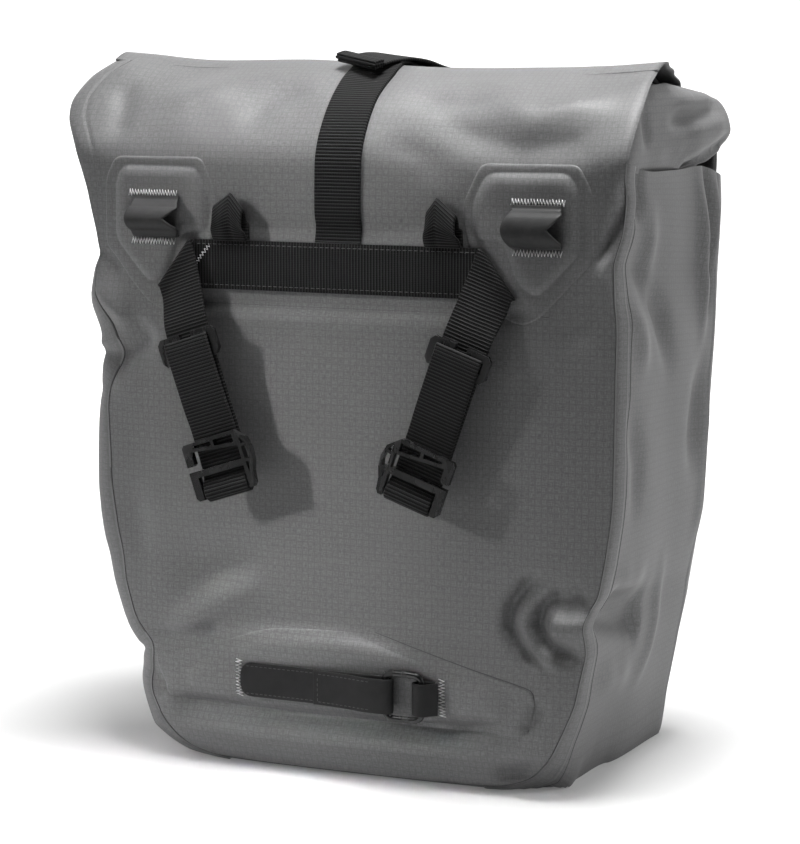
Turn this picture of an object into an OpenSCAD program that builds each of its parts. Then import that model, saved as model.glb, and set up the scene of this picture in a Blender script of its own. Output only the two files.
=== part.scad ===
// Roll-top pannier bag, welded coated cloth, with webbing strap hangers on its mounting side.
// Frame in mm: +X to the right seen from the mounting side, -Y out of the mounting face,
// +Z up, origin on the floor at the middle of the flat bottom.

/* [Bag] */
// depth from the mounting face to the outer face
bag_d = 160; // [140:1:180]
// half of the flat part of the bottom
foot_x = 80; // [60:1:95]
// thickness of the cloth walls
wall_t = 2; // [1:0.5:3]
// height where the mounting face starts to lean back
shoulder_z = 318; // [290:1:330]
// height of the outer face below its collar
front_z = 300; // [280:1:310]
// height of the side gussets below the folded corners
gusset_z = 306; // [285:1:312]
// half width of the roll and of the flap
roll_x = 150; // [130:1:160]

/* [Webbing] */
// webbing width
web_w = 25; // [20:1:40]
// webbing thickness
web_t = 1.6; // [1:0.1:2.5]
// lower edge of the sewn band
band_z = 250; // [200:1:270]
// half length of the sewn band along its top edge
band_x = 80; // [60:1:90]
// sideways lean of the hanging straps, in degrees
strap_tilt = 18.2; // [0:0.1:30]
// sideways place of a hanging strap at its fold
strap_x = 89.5; // [70:0.5:100]
// height of a hanging strap at its fold
strap_z = 262; // [240:1:270]
// how much nearer the middle the right-hand strap hangs
right_in = 4.5; // [0:0.5:8]
// extra sideways lean of the right-hand strap, in degrees
right_lean = 1.3; // [0:0.1:4]

/* [Hardware] */
// radius of the hook's bottom bar inside the webbing loop
bar_r = 2.2; // [1.5:0.1:3]
// thickness of the hook plate
hook_t = 4; // [3:0.5:5]
// radius of the ring's rod
ring_r = 1.6; // [1:0.1:2.5]

/* [Lower strap] */
// height of the lower strap's centre line
low_z = 48.5; // [35:1:60]
// width of the lower strap
low_w = 18; // [12:1:25]
// middle of the oval ring
ring_x = 38.5; // [20:0.5:45]
// sideways place of the lower strap
low_x = 3.5; // [0:0.5:5]

/* [Hidden] */
$fn = 48;
fy = -bag_d / 2;
by = bag_d / 2;
band_top = band_z + web_w;
half_w = [[foot_x, 0], [90, 2.5], [98, 8], [105, 18], [110, 30], [117, 60], [121, 80], [127, 100],
    [131, 120], [135, 150], [139, 200], [142, 260], [147, 300], [150, shoulder_z]];
cloth = [0.36, 0.37, 0.38];
web_c = [0.06, 0.06, 0.065];
rubber_c = [0.09, 0.09, 0.095];
plastic_c = [0.05, 0.05, 0.055];
thread_c = [0.75, 0.75, 0.75];

function unit(v) = v / norm(v);
function side(a, b) = let (d = unit(b - a)) [-d[1], d[0]];
function bisect(p, i) = i == 0 ? side(p[0], p[1])
    : i == len(p) - 1 ? side(p[i - 1], p[i])
    : let (m = side(p[i - 1], p[i]) + side(p[i], p[i + 1])) 2 * m / (m * m);
// outline of a strip of thickness t that follows the open line p
function strip(p, t) = concat([for (i = [0:len(p) - 1]) p[i] + bisect(p, i) * t / 2],
    [for (i = [len(p) - 1:-1:0]) p[i] - bisect(p, i) * t / 2]);
// the roll's ridge sags towards the mounting side
function sag(p) = [for (q = p) [q[0], q[1] - 0.09 * max(20 - q[0], 0)]];
// bag outline seen from the mounting side, up to height top, moved inwards by t
function edge_x(z) = lookup(z, [for (q = half_w) [q[1], q[0]]]);
function right_edge(top, t) = concat([for (q = half_w) if (q[1] < top) [q[0] - t, max(q[1], t)]],
    [[edge_x(top) - t, top]]);
function left_edge(top, t) = [for (i = [len(right_edge(top, t)) - 1:-1:0])
    [-right_edge(top, t)[i][0], right_edge(top, t)[i][1]]];
function face_outline(top) = concat(right_edge(top, 0), left_edge(top, 0));
function ring_outline(top, t) = concat(right_edge(top, 0),
    [for (i = [len(right_edge(top, t)) - 1:-1:0]) right_edge(top, t)[i]],
    [for (i = [len(left_edge(top, t)) - 1:-1:0]) left_edge(top, t)[i]], left_edge(top, 0));

// a Y-Z profile drawn out along X
module along_x(x0, x1) {
    translate([x0, 0, 0]) rotate([90, 0, 90]) linear_extrude(x1 - x0) children();
}
// an X-Z profile drawn out along Y
module along_y(y0, y1) {
    translate([0, y1, 0]) rotate([90, 0, 0]) linear_extrude(y1 - y0) children();
}
// left or right copy: s = 1 keeps the right-hand side, s = -1 mirrors it
module sided(s) {
    if (s > 0) children();
    else mirror([1, 0, 0]) children();
}
// a hanging strap set in its place, the two sides hanging a little differently
module hung(s) {
    if (s > 0) translate([strap_x - right_in, 0, strap_z]) rotate([0, right_lean, 0])
        translate([-strap_x, 0, -strap_z]) children();
    else mirror([1, 0, 0]) children();
}
// frame of a hanging strap: Z runs up the strap from its fold
module strap_frame() {
    translate([strap_x, 0, strap_z]) rotate([0, strap_tilt, 0]) children();
}

// ---------- cloth body ----------
module back_panel() {
    color(cloth) along_y(fy, fy + wall_t) polygon(face_outline(shoulder_z));
}
module front_panel() {
    color(cloth) along_y(by - wall_t, by) polygon(face_outline(front_z));
}
module gusset() {
    color(cloth) difference() {
        along_y(fy + wall_t, by - wall_t) polygon([
            for (q = concat(right_edge(gusset_z, 0),
                [for (i = [len(right_edge(gusset_z, wall_t)) - 1:-1:0]) right_edge(gusset_z, wall_t)[i]],
                [for (q = right_edge(gusset_z, wall_t)) [-q[0], q[1]]],
                [for (i = [len(right_edge(gusset_z, 0)) - 1:-1:0])
                    [-right_edge(gusset_z, 0)[i][0], right_edge(gusset_z, 0)[i][1]]])) q]);
        translate([-200, by - 6, front_z - 0.5]) cube([400, 10, 20]);
    }
}
module ear() {
    color(cloth) along_x(142, 151) polygon([[-64, gusset_z], [67, gusset_z], [73, 318], [74, 327], [70, 337],
        [40, 343], [5, 348], [-16, 350.5], [-34, 347], [-50, 336], [-62, 321]]);
}
module left_ear() { sided(-1) ear(); }
module right_ear() { sided(1) ear(); }
module back_stiffener() {
    color(plastic_c) along_y(fy + wall_t, fy + wall_t + 1.5) polygon([[-98, 31], [98, 31], [112, 100],
        [126, 200], [130, 286], [120, 298], [-120, 298], [-130, 286], [-126, 200], [-112, 100]]);
}

// ---------- welded patches and their loops ----------
module corner_patch() {
    color(cloth) difference() {
        union() {
            along_y(fy - 1.2, fy) polygon([[70, 297], [85, 317], [130, 318], [136, 305], [133, 267],
                [110, 247], [95, 238], [75, 245], [64, 268]]);
            along_y(fy - 3, fy - 1.1) polygon([[76, 298], [86, 311], [127, 311], [129, 304], [126, 271],
                [112, 264], [105, 271], [99, 279], [78, 279]]);
        }
        along_y(fy - 4, fy + 1) polygon([[-99.3, band_z - 0.1], [99.3, band_z - 0.1],
            [band_x + 0.3, band_top + 0.1], [-band_x - 0.3, band_top + 0.1]]);
        translate([46, fy - 12, band_top]) cube([25, 13, 25]);
    }
}
module left_patch() { sided(-1) corner_patch(); }
module right_patch() { sided(1) corner_patch(); }
module patch_loop() {
    color(rubber_c) along_x(93, 120) polygon(strip([[fy - 3.7, 300], [fy - 3.7, 294], [fy - 8, 291.5],
        [fy - 10.6, 285], [fy - 8, 278.5], [fy - 3.7, 276], [fy - 3.7, 270]], 1.4));
}
module left_patch_loop() { sided(-1) patch_loop(); }
module right_patch_loop() { sided(1) patch_loop(); }
module upper_bar_tacks() {
    color(thread_c) for (s = [-1, 1]) sided(s) {
        translate([93, fy - 4.9, 295.5]) cube([26, 0.5, 3.5]);
        translate([93, fy - 4.9, 271]) cube([26, 0.5, 3.5]);
    }
}
module lower_patch() {
    color(cloth) along_y(fy - 1.2, fy) polygon([[-98, 33], [-102, 44], [-107, 56], [-89, 62], [-57, 73],
        [-38, 78], [19, 80], [37, 74], [99, 59], [102, 54], [98, 33]]);
}
module lower_bar_tacks() {
    color(thread_c) {
        translate([low_x - 60.5, fy - 1.8, low_z - 10]) cube([3, 0.6, 20]);
        translate([low_x + 52.5, fy - 1.8, low_z - 10]) cube([3, 0.6, 20]);
    }
}

// ---------- sewn webbing ----------
module webbing_band() {
    color(web_c) along_y(fy - 2.2, fy) polygon([[-99, band_z], [94.5, band_z],
        [band_x - 3, band_top], [-band_x, band_top]]);
}
module hook_loop() {
    color(web_c) along_x(47, 70) polygon(strip([[fy - 0.9, band_top + 0.3], [fy - 1, 290], [fy - 2.4, 296],
        [fy - 5, 297.6], [fy - 7.6, 296], [fy - 8.6, 290], [fy - 6, 281], [fy - 3.2, band_top + 0.3]], web_t));
}
module left_hook_loop() { sided(-1) hook_loop(); }
module right_hook_loop() { sided(1) hook_loop(); }
module closure_strap_lower() {
    color(web_c) translate([-web_w / 2, fy - web_t, band_top + 0.2]) cube([web_w, web_t, 39.6]);
}
module front_anchor() {
    color(web_c) along_x(-web_w / 2, web_w / 2) polygon(strip([[by + 0.8, 262], [by + 0.8, 255],
        [by + 3, 251], [by + 3.1, 239], [by + 0.8, 235], [by + 0.8, 150]], web_t));
}

// ---------- lower strap and ring ----------
module lower_strap() {
    color(rubber_c) translate([low_x, 0, low_z - low_w / 2]) linear_extrude(low_w)
        polygon(strip([[-56, fy - 2.1], [-12, fy - 3], [8, fy - 3.4], [22, fy - 3.5], [27, fy - 4.2],
            [29.4, fy - 7.5], [27, fy - 11], [22, fy - 12], [14, fy - 10.3], [6, fy - 6.4],
            [-12, fy - 4.7]], 1.4));
}
module ring_loop() {
    color(rubber_c) translate([low_x, 0, low_z - low_w / 2]) linear_extrude(low_w)
        polygon(strip([[50.6, fy - 2], [47.5, fy - 3.4], [43, fy - 3.9], [40.6, fy - 7.5],
            [43, fy - 11.3], [47.4, fy - 11.5], [50.8, fy - 7.6], [51.4, fy - 3.6]], 1.4));
}
module lower_ring() {
    color(plastic_c) along_y(fy - 7.5 - ring_r, fy - 7.5 + ring_r) difference() {
        polygon([[ring_x - 12.1, low_z - 8], [ring_x - 8, low_z - 13.4], [ring_x + 8, low_z - 13.4],
            [ring_x + 12.1, low_z - 8], [ring_x + 12.1, low_z + 8], [ring_x + 8, low_z + 13.4],
            [ring_x - 8, low_z + 13.4], [ring_x - 12.1, low_z + 8]]);
        polygon([[ring_x - 8.9, low_z - 10.2], [ring_x + 8.9, low_z - 10.2], [ring_x + 8.9, low_z + 10.2],
            [ring_x - 8.9, low_z + 10.2]]);
    }
}

// ---------- flap, roll and far collar ----------
module roll_flap() {
    color(cloth) along_x(-roll_x, roll_x) polygon(strip([[fy + 1.2, shoulder_z + 0.9], [-73.5, 330],
        [-62, 344.5], [-46, 356.6], [-29.5, 363.1]], wall_t));
}
module closure_strap_flap() {
    color(web_c) along_x(-web_w / 2, web_w / 2) polygon(strip([[-80.6, 320.6], [-75, 331.5],
        [-63.2, 346], [-46.9, 358.3], [-30.3, 364.9]], web_t));
}
module rolled_hem() {
    color(cloth) along_x(-roll_x, roll_x) difference() {
        polygon(sag([[-27.4, 369.2], [-10, 367.4], [10, 361.8], [19, 357.6], [20, 355], [19.2, 352.2],
            [8, 354.2], [-10, 359.4], [-25, 362.4], [-27.2, 364.5]]));
        polygon(sag([[-25.4, 367.2], [-10, 365.6], [9.4, 360.2], [17.4, 356.4], [17.9, 355], [17.4, 354.3],
            [8.4, 356], [-10, 361.2], [-24.4, 364.2], [-25.4, 365.4]]));
    }
}
module hem_stiffener() {
    color(plastic_c) along_x(-roll_x + 4, roll_x - 4) polygon(strip(sag([[-23, 365.5], [-10, 363.4],
        [8.8, 358.1], [15, 355.9]]), 1.4));
}
module closure_strap_top() {
    color(web_c) along_x(-web_w / 2, web_w / 2) polygon(strip(sag([[-26.5, 370.1], [-10, 368.4],
        [10.3, 362.8], [19.2, 358.7]]), web_t));
}
module front_collar() {
    color(cloth) along_x(-141.5, 141.5) polygon(strip([[by - 1, front_z + 1.2], [78.2, 320],
        [72.6, 335.2], [54.6, 341.4], [25, 346.2], [6, 348.8]], wall_t));
}

// ---------- closure strap over the roll ----------
module closure_strap_far() {
    color(web_c) along_x(-web_w / 2, web_w / 2) polygon(strip([[22, 357.1], [50, 350.2], [75, 343.6],
        [80, 339], [82.9, 326], [83.1, 300], [82.9, 267], [84, 263.6], [86.5, 262.5], [89, 263.6],
        [90.1, 266.5], [88, 273], [85.3, 284]], web_t));
}
module strap_tail() {
    color(web_c) translate([15, 14, 0]) rotate([0, 0, -22]) {
        along_x(-web_w / 2, web_w / 2) polygon(strip([[0, 365], [-20, 370.6], [-36, 373], [-46, 372.4],
            [-55, 371]], web_t));
        translate([-14.5, -60.5, 368.4]) cube([29, 7.4, 4.6]);
    }
}

// ---------- hangers: straps, sliders and hooks ----------
module hanger_strap() {
    color(web_c) strap_frame() along_x(-web_w / 2, web_w / 2) polygon(strip([[-83.2, -0.6], [-84.6, -8],
        [-92.6, -33], [-92.6, -110], [-94.4, -115.6], [-95.4, -119.4], [-98, -120.7], [-100.6, -119.5],
        [-101.7, -116.6], [-100.6, -113.8], [-96.2, -108.4], [-96.2, -84], [-98, -74], [-98, -42]], web_t));
}
module left_strap() { hung(-1) hanger_strap(); }
module right_strap() { hung(1) hanger_strap(); }
module slider() {
    color(plastic_c) strap_frame() along_y(-96.8, -93.9) difference() {
        polygon([[-14.5, -35.6], [14.5, -35.6], [16.6, -38], [16.6, -47.5], [14.5, -50], [-14.5, -50],
            [-16.6, -47.5], [-16.6, -38]]);
        polygon([[-13.1, -39.4], [13.1, -39.4], [13.1, -46], [-13.1, -46]]);
        polygon([[-3.3, -34], [3.3, -34], [3.3, -41], [-3.3, -41]]);
    }
}
module left_slider() { hung(-1) slider(); }
module right_slider() { hung(1) slider(); }
// hook plate in its strap's frame: the bowed side is towards the middle of the bag
module hook_plate() {
    difference() {
        polygon([[-12.5, -89.4], [16.5, -90.2], [17.8, -91.8], [17.8, -118], [16.4, -119.8],
            [-15.4, -119.8], [-16.8, -118], [-17.5, -112], [-19.4, -107], [-20, -101], [-18.6, -95]]);
        polygon([[-13.4, -97.6], [13.4, -94.6], [13.4, -101], [14.6, -101.8], [19, -101.8], [19, -104.6],
            [-13.4, -104.6]]);
        polygon([[-13.4, -108], [13.4, -108], [13.4, -121], [-13.4, -121]]);
        polygon([[-11.8, -91.2], [-0.6, -91.5], [-0.6, -94.4], [-11.8, -95.6]]);
        polygon([[1.2, -91.6], [11.5, -91.8], [11.5, -92.9], [1.2, -94.1]]);
        polygon([[-15.2, -93.6], [-15.2, -97.2], [-17.5, -96.8]]);
        polygon([[-15.2, -98.8], [-18.1, -98.2], [-18.6, -102.4], [-17.8, -105.6], [-15.2, -104.6]]);
        polygon([[-15.2, -106.4], [-17.2, -107.2], [-15.8, -112]]);
    }
}
module gate_hook() {
    color(plastic_c) strap_frame() {
        along_y(-98 - hook_t / 2 - 1.8, -98 + hook_t / 2 - 1.8) hook_plate();
        translate([-15.2, -98, -117]) rotate([0, 90, 0]) cylinder(r = bar_r, h = 31);
    }
}
module left_hook() { hung(-1) gate_hook(); }
module right_hook() { hung(1) gate_hook(); }
module closure_hook() {
    color(plastic_c) {
        translate([0, 0, 149.5]) mirror([0, 0, 1]) along_y(86.5 - hook_t / 2, 86.5 + hook_t / 2) hook_plate();
        translate([-15.2, 86.5, 266.5]) rotate([0, 90, 0]) cylinder(r = bar_r, h = 31);
    }
}

back_panel();
front_panel();
gusset();
left_ear();
right_ear();
back_stiffener();
left_patch();
right_patch();
left_patch_loop();
right_patch_loop();
upper_bar_tacks();
lower_patch();
lower_bar_tacks();
webbing_band();
left_hook_loop();
right_hook_loop();
closure_strap_lower();
front_anchor();
lower_strap();
ring_loop();
lower_ring();
roll_flap();
closure_strap_flap();
rolled_hem();
hem_stiffener();
closure_strap_top();
front_collar();
closure_strap_far();
strap_tail();
closure_hook();
left_strap();
right_strap();
left_slider();
right_slider();
left_hook();
right_hook();
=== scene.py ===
"""Roll-top pannier bag: cloth shell, webbing harness, hooks and rubberised loops, on the CAD frame."""

import math

import bpy
import numpy as np
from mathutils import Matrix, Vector
from mathutils.geometry import delaunay_2d_cdt


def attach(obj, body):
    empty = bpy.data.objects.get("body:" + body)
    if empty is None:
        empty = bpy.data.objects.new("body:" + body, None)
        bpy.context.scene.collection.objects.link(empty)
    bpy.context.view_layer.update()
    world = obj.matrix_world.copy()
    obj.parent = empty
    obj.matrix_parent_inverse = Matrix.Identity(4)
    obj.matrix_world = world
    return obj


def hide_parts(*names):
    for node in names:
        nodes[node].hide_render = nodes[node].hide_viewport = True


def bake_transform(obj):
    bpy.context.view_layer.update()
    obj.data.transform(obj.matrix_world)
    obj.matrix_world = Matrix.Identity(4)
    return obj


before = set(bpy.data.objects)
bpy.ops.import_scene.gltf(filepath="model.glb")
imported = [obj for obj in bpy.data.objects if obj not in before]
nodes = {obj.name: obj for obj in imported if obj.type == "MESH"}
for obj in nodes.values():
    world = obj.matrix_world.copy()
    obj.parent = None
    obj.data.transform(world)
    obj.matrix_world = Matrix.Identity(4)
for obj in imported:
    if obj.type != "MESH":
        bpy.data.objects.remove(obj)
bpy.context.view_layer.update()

MM = 0.001
FY, BY = -80.0, 80.0
DEPTH = BY - FY
SHOULDER = 318.0
BAND_Z = 250.0
BAND_TOP = 275.0
WEB_W, WEB_T = 25.0, 1.6
STRAP_Z = 262.0
HUNG = {-1: (89.5, math.radians(18.2)), 1: (85.0, math.radians(19.5))}
LOW_Z, LOW_W = 48.5, 18.0
LOW_X = 3.5
RING_X = 38.5
EDGE_STEP = 1.6
TINY = 1e-9
ODD_WAY = (0.3, 0.2, 0.93)


# ---------------------------------------------------------------- shapes
def step(a, b, x):
    t = np.clip((np.asarray(x, float) - a) / (b - a), 0, 1)
    return t * t * (3 - 2 * t)


def curve(points, count):
    """count points spread evenly along a smooth line through points."""
    p = np.array(points, float)
    d = np.concatenate([[0], np.cumsum(np.sqrt(np.linalg.norm(np.diff(p, axis=0), axis=1)) + TINY)])
    out = []
    for i in range(len(p) - 1):
        a, b = p[i], p[i + 1]
        h = d[i + 1] - d[i]
        ma = (p[i + 1] - p[i - 1]) / (d[i + 1] - d[i - 1]) * h if i else (b - a)
        mb = (p[i + 2] - p[i]) / (d[i + 2] - d[i]) * h if i + 2 < len(p) else (b - a)
        for t in np.linspace(0, 1, 40, endpoint=False):
            out.append((2 * t**3 - 3 * t**2 + 1) * a + (t**3 - 2 * t**2 + t) * ma
                       + (-2 * t**3 + 3 * t**2) * b + (t**3 - t**2) * mb)
    out.append(p[-1])
    return spread(np.array(out), count)


def spread(p, count):
    """count points at equal steps along the polyline p."""
    s = lengths(p)
    t = np.linspace(0, s[-1], count)
    return np.stack([np.interp(t, s, p[:, k]) for k in range(p.shape[1])], -1)


def lengths(p):
    return np.concatenate([[0], np.cumsum(np.linalg.norm(np.diff(np.asarray(p, float), axis=0), axis=1))])


def to_line(x, z, pts):
    """Distance from (x, z) to a polyline, share along it, and which side of it the point lies on."""
    x, z = np.broadcast_arrays(np.asarray(x, float), np.asarray(z, float))
    pts = np.array(pts, float)
    s = lengths(pts)
    best = np.full(x.shape, 1e9)
    along = np.zeros(x.shape)
    side = np.ones(x.shape)
    for i in range(len(pts) - 1):
        a, b = pts[i], pts[i + 1]
        e = b - a
        n = max(e @ e, TINY)
        t = np.clip(((x - a[0]) * e[0] + (z - a[1]) * e[1]) / n, 0, 1)
        dx, dz = x - a[0] - t * e[0], z - a[1] - t * e[1]
        d = np.hypot(dx, dz)
        m = d < best
        best = np.where(m, d, best)
        along = np.where(m, (s[i] + t * math.sqrt(n)) / s[-1], along)
        side = np.where(m, np.sign(e[0] * dz - e[1] * dx), side)
    return best, along, side


def fold(x, z, pts, width, height, sharp=1.0, ends=0.35):
    """A soft ridge or valley along pts: height at its middle, fading over width to the sides and at its ends.
    sharp scales the width on the right of the line; ends is the share of its length over which it fades."""
    d, t, side = to_line(x, z, pts)
    w = np.where(side > 0, width, width * sharp)
    fade = step(0, ends, t) * step(0, ends, 1 - t)
    return height * fade * np.exp(-(d / w) ** 2)


def add_folds(d, x, z, table):
    """d with the folds of table added, each given as (line, width, height, sharp, ends)."""
    for row in table:
        d = d + fold(x, z, *row)
    return d


def tangents(p, least=0.0):
    """Unit directions along the polyline p. least keeps points that meet from dividing by zero."""
    t = np.gradient(p, axis=0)
    return t / (np.linalg.norm(t, axis=1)[:, None] + least)


def bump(x, z, cx, cz, rx, rz, height):
    return height * np.exp(-((x - cx) / rx) ** 2 - ((z - cz) / rz) ** 2)


def mesh(name, verts, faces, uv=None):
    """An object from millimetre vertices; uv is one pair in metres for each vertex."""
    me = bpy.data.meshes.new(name)
    me.from_pydata((np.asarray(verts, float) * MM).tolist(), [], [list(map(int, f)) for f in faces])
    if uv is not None:
        layer = me.uv_layers.new(name="UVMap")
        idx = np.empty(len(me.loops), np.int32)
        me.loops.foreach_get("vertex_index", idx)
        layer.data.foreach_set("uv", np.asarray(uv, np.float32)[idx].ravel())
    me.polygons.foreach_set("use_smooth", [True] * len(me.polygons))
    me.update()
    obj = bpy.data.objects.new(name, me)
    bpy.context.scene.collection.objects.link(obj)
    return obj


def grid_faces(nu, nv, wrap=False, start=0):
    i, j = np.meshgrid(np.arange(nu - 1), np.arange(nv if wrap else nv - 1), indexing="ij")
    k = (j + 1) % nv
    return (np.stack([i * nv + j, i * nv + k, (i + 1) * nv + k, (i + 1) * nv + j], -1).reshape(-1, 4)
            + start).tolist()


def capped(rings, sides, start=0):
    """Faces of a tube of rings, each with so many sides, and of its two ends."""
    first = [start + k for k in range(sides)]
    return grid_faces(rings, sides, True, start) + [first[::-1], [(rings - 1) * sides + k for k in first]]


def bake(obj, *mods):
    """Adds modifiers, given as (type, {setting: value}), and applies them to the mesh."""
    for kind, settings in mods:
        m = obj.modifiers.new(kind.lower(), kind)
        for k, v in settings.items():
            setattr(m, k, v)
    bpy.context.view_layer.update()
    ev = obj.evaluated_get(bpy.context.evaluated_depsgraph_get())
    me = bpy.data.meshes.new_from_object(ev)
    obj.modifiers.clear()
    obj.data = me
    return obj


def join(name, objs):
    """One object from several with the same kind of data."""
    with bpy.context.temp_override(active_object=objs[0], selected_editable_objects=objs,
                                   selected_objects=objs):
        bpy.ops.object.join()
    objs[0].name = name
    objs[0].data.name = name
    return objs[0]


def tube_mesh(name, lines, radius, sides=5):
    """Round cords along each polyline in lines, as one mesh."""
    verts, faces, uv = [], [], []
    for p in lines:
        p = np.array(p, float)
        t = tangents(p, TINY)
        a = np.cross(t, ODD_WAY)
        a /= np.linalg.norm(a, axis=1)[:, None] + TINY
        b = np.cross(t, a)
        s = lengths(p)
        ang = np.arange(sides) / sides * 2 * math.pi
        r = np.full(len(p), radius)
        r[[0, -1]] *= 0.35
        across = np.cos(ang)[None, :, None] * a[:, None] + np.sin(ang)[None, :, None] * b[:, None]
        ring = p[:, None] + r[:, None, None] * across
        faces += capped(len(p), sides, len(verts))
        verts += ring.reshape(-1, 3).tolist()
        uv += [[k / sides * radius * 6 * MM, s[i] * MM] for i in range(len(p)) for k in range(sides)]
    return mesh(name, verts, faces, uv)


def ribbon(name, centre, across, width, thick, left=None, right=None, cols=12):
    """A flat strap with rounded edges. centre is its middle line and across its unit width direction, one for
    all points or one each; left and right are edge positions in mm along across, one for each point."""
    c = np.array(centre, float)
    n = len(c)
    w = np.array(across, float)
    w = np.tile(w, (n, 1)) if w.ndim == 1 else w
    lo = np.full(n, -width / 2) if left is None else np.asarray(left, float)
    hi = np.full(n, width / 2) if right is None else np.asarray(right, float)
    s = lengths(c)
    nrm = np.cross(w, tangents(c, TINY))
    nrm /= np.linalg.norm(nrm, axis=1)[:, None] + TINY
    h = thick / 2
    e = min(0.5 * thick, 0.8)
    prof = [(0.0, 0, 0.0)]
    prof += [(0.0, e * (1 - math.cos(a)), h * math.sin(a)) for a in (math.pi / 6, math.pi / 3)]
    prof += [(k / cols, e * (1 - 2 * k / cols), h) for k in range(cols + 1)]
    prof += [(1.0, -e * (1 - math.cos(a)), h * math.sin(a)) for a in (math.pi / 3, math.pi / 6)]
    prof += [(1.0, 0, 0.0)]
    prof += [(q[0], q[1], -q[2]) for q in prof[-2:0:-1]]
    verts, uv = [], []
    for i in range(n):
        for f, off, z in prof:
            a = lo[i] + (hi[i] - lo[i]) * f + off
            verts.append(c[i] + w[i] * a + nrm[i] * z)
            uv.append([(a + width / 2) * MM, s[i] * MM])
    return mesh(name, verts, capped(n, len(prof)), uv)


# ---------------------------------------------------------------- materials
class Nodes:
    def __init__(self, name):
        self.mat = bpy.data.materials.new(name)
        self.mat.use_nodes = True
        self.t = self.mat.node_tree
        self.t.nodes.clear()
        self.out = self.t.nodes.new("ShaderNodeOutputMaterial")
        self.b = self.t.nodes.new("ShaderNodeBsdfPrincipled")
        self.t.links.new(self.b.outputs[0], self.out.inputs[0])

    def n(self, kind, **kw):
        node = self.t.nodes.new("ShaderNode" + kind)
        for k, v in kw.items():
            setattr(node, k, v)
        return node

    def put(self, sock, v):
        if v is None:
            return
        if isinstance(v, bpy.types.NodeSocket):
            self.t.links.new(v, sock)
        else:
            sock.default_value = v

    def m(self, op, a, b=None):
        node = self.n("Math", operation=op)
        for i, v in enumerate((a, b)):
            self.put(node.inputs[i], v)
        return node.outputs[0]

    def mul(self, a, b):
        return self.m("MULTIPLY", a, b)

    def add(self, a, b):
        return self.m("ADD", a, b)

    def wave(self, v):
        """A sine of v, from 0 to 1."""
        return self.add(self.mul(self.m("SINE", v), 0.5), 0.5)

    def mix(self, f, a, b):
        node = self.n("Mix", data_type="RGBA")
        self.put(node.inputs["Factor"], f)
        self.put(node.inputs[6], a)
        self.put(node.inputs[7], b)
        return node.outputs[2]

    def band(self, v, lo, hi, a=0.0, b=1.0):
        node = self.n("MapRange", interpolation_type="SMOOTHSTEP")
        for k, q in zip(("Value", "From Min", "From Max", "To Min", "To Max"), (v, lo, hi, a, b)):
            self.put(node.inputs[k], q)
        return node.outputs[0]

    def uv(self):
        sep = self.n("SeparateXYZ")
        self.t.links.new(self.n("UVMap", uv_map="UVMap").outputs[0], sep.inputs[0])
        return sep.outputs[0], sep.outputs[1]

    def pos(self):
        sep = self.n("SeparateXYZ")
        self.t.links.new(self.n("TexCoord").outputs["Object"], sep.inputs[0])
        return sep.outputs

    def vec(self, x, y, z=0.0):
        node = self.n("CombineXYZ")
        for i, v in enumerate((x, y, z)):
            self.put(node.inputs[i], v)
        return node.outputs[0]

    def noise(self, vector, scale, detail=2.0, rough=0.5):
        node = self.n("TexNoise")
        self.put(node.inputs["Vector"], vector)
        node.inputs["Scale"].default_value = scale
        node.inputs["Detail"].default_value = detail
        node.inputs["Roughness"].default_value = rough
        return node.outputs[0]

    def bump(self, height, strength, distance, normal=None):
        node = self.n("Bump")
        node.inputs["Strength"].default_value = strength
        node.inputs["Distance"].default_value = distance
        self.put(node.inputs["Height"], height)
        self.put(node.inputs["Normal"], normal)
        return node.outputs[0]

    def set(self, **kw):
        for k, v in kw.items():
            self.put(self.b.inputs[k.replace("_", " ")], v)
        return self.mat

    def line(self, v, pitch, half, soft):
        """1 on lines a pitch apart, 0 between them."""
        w = self.m("PINGPONG", self.add(v, 100 * pitch), pitch / 2)
        return self.band(w, half, half + soft, 1.0, 0.0)


def grey(v):
    return (v, v, v * 1.01, 1.0)


# pitch of the ripstop grid, half the width of a thread in it, and its soft edge, in metres
RIP_GRID = (0.0034, 0.00016, 0.00034)


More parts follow.
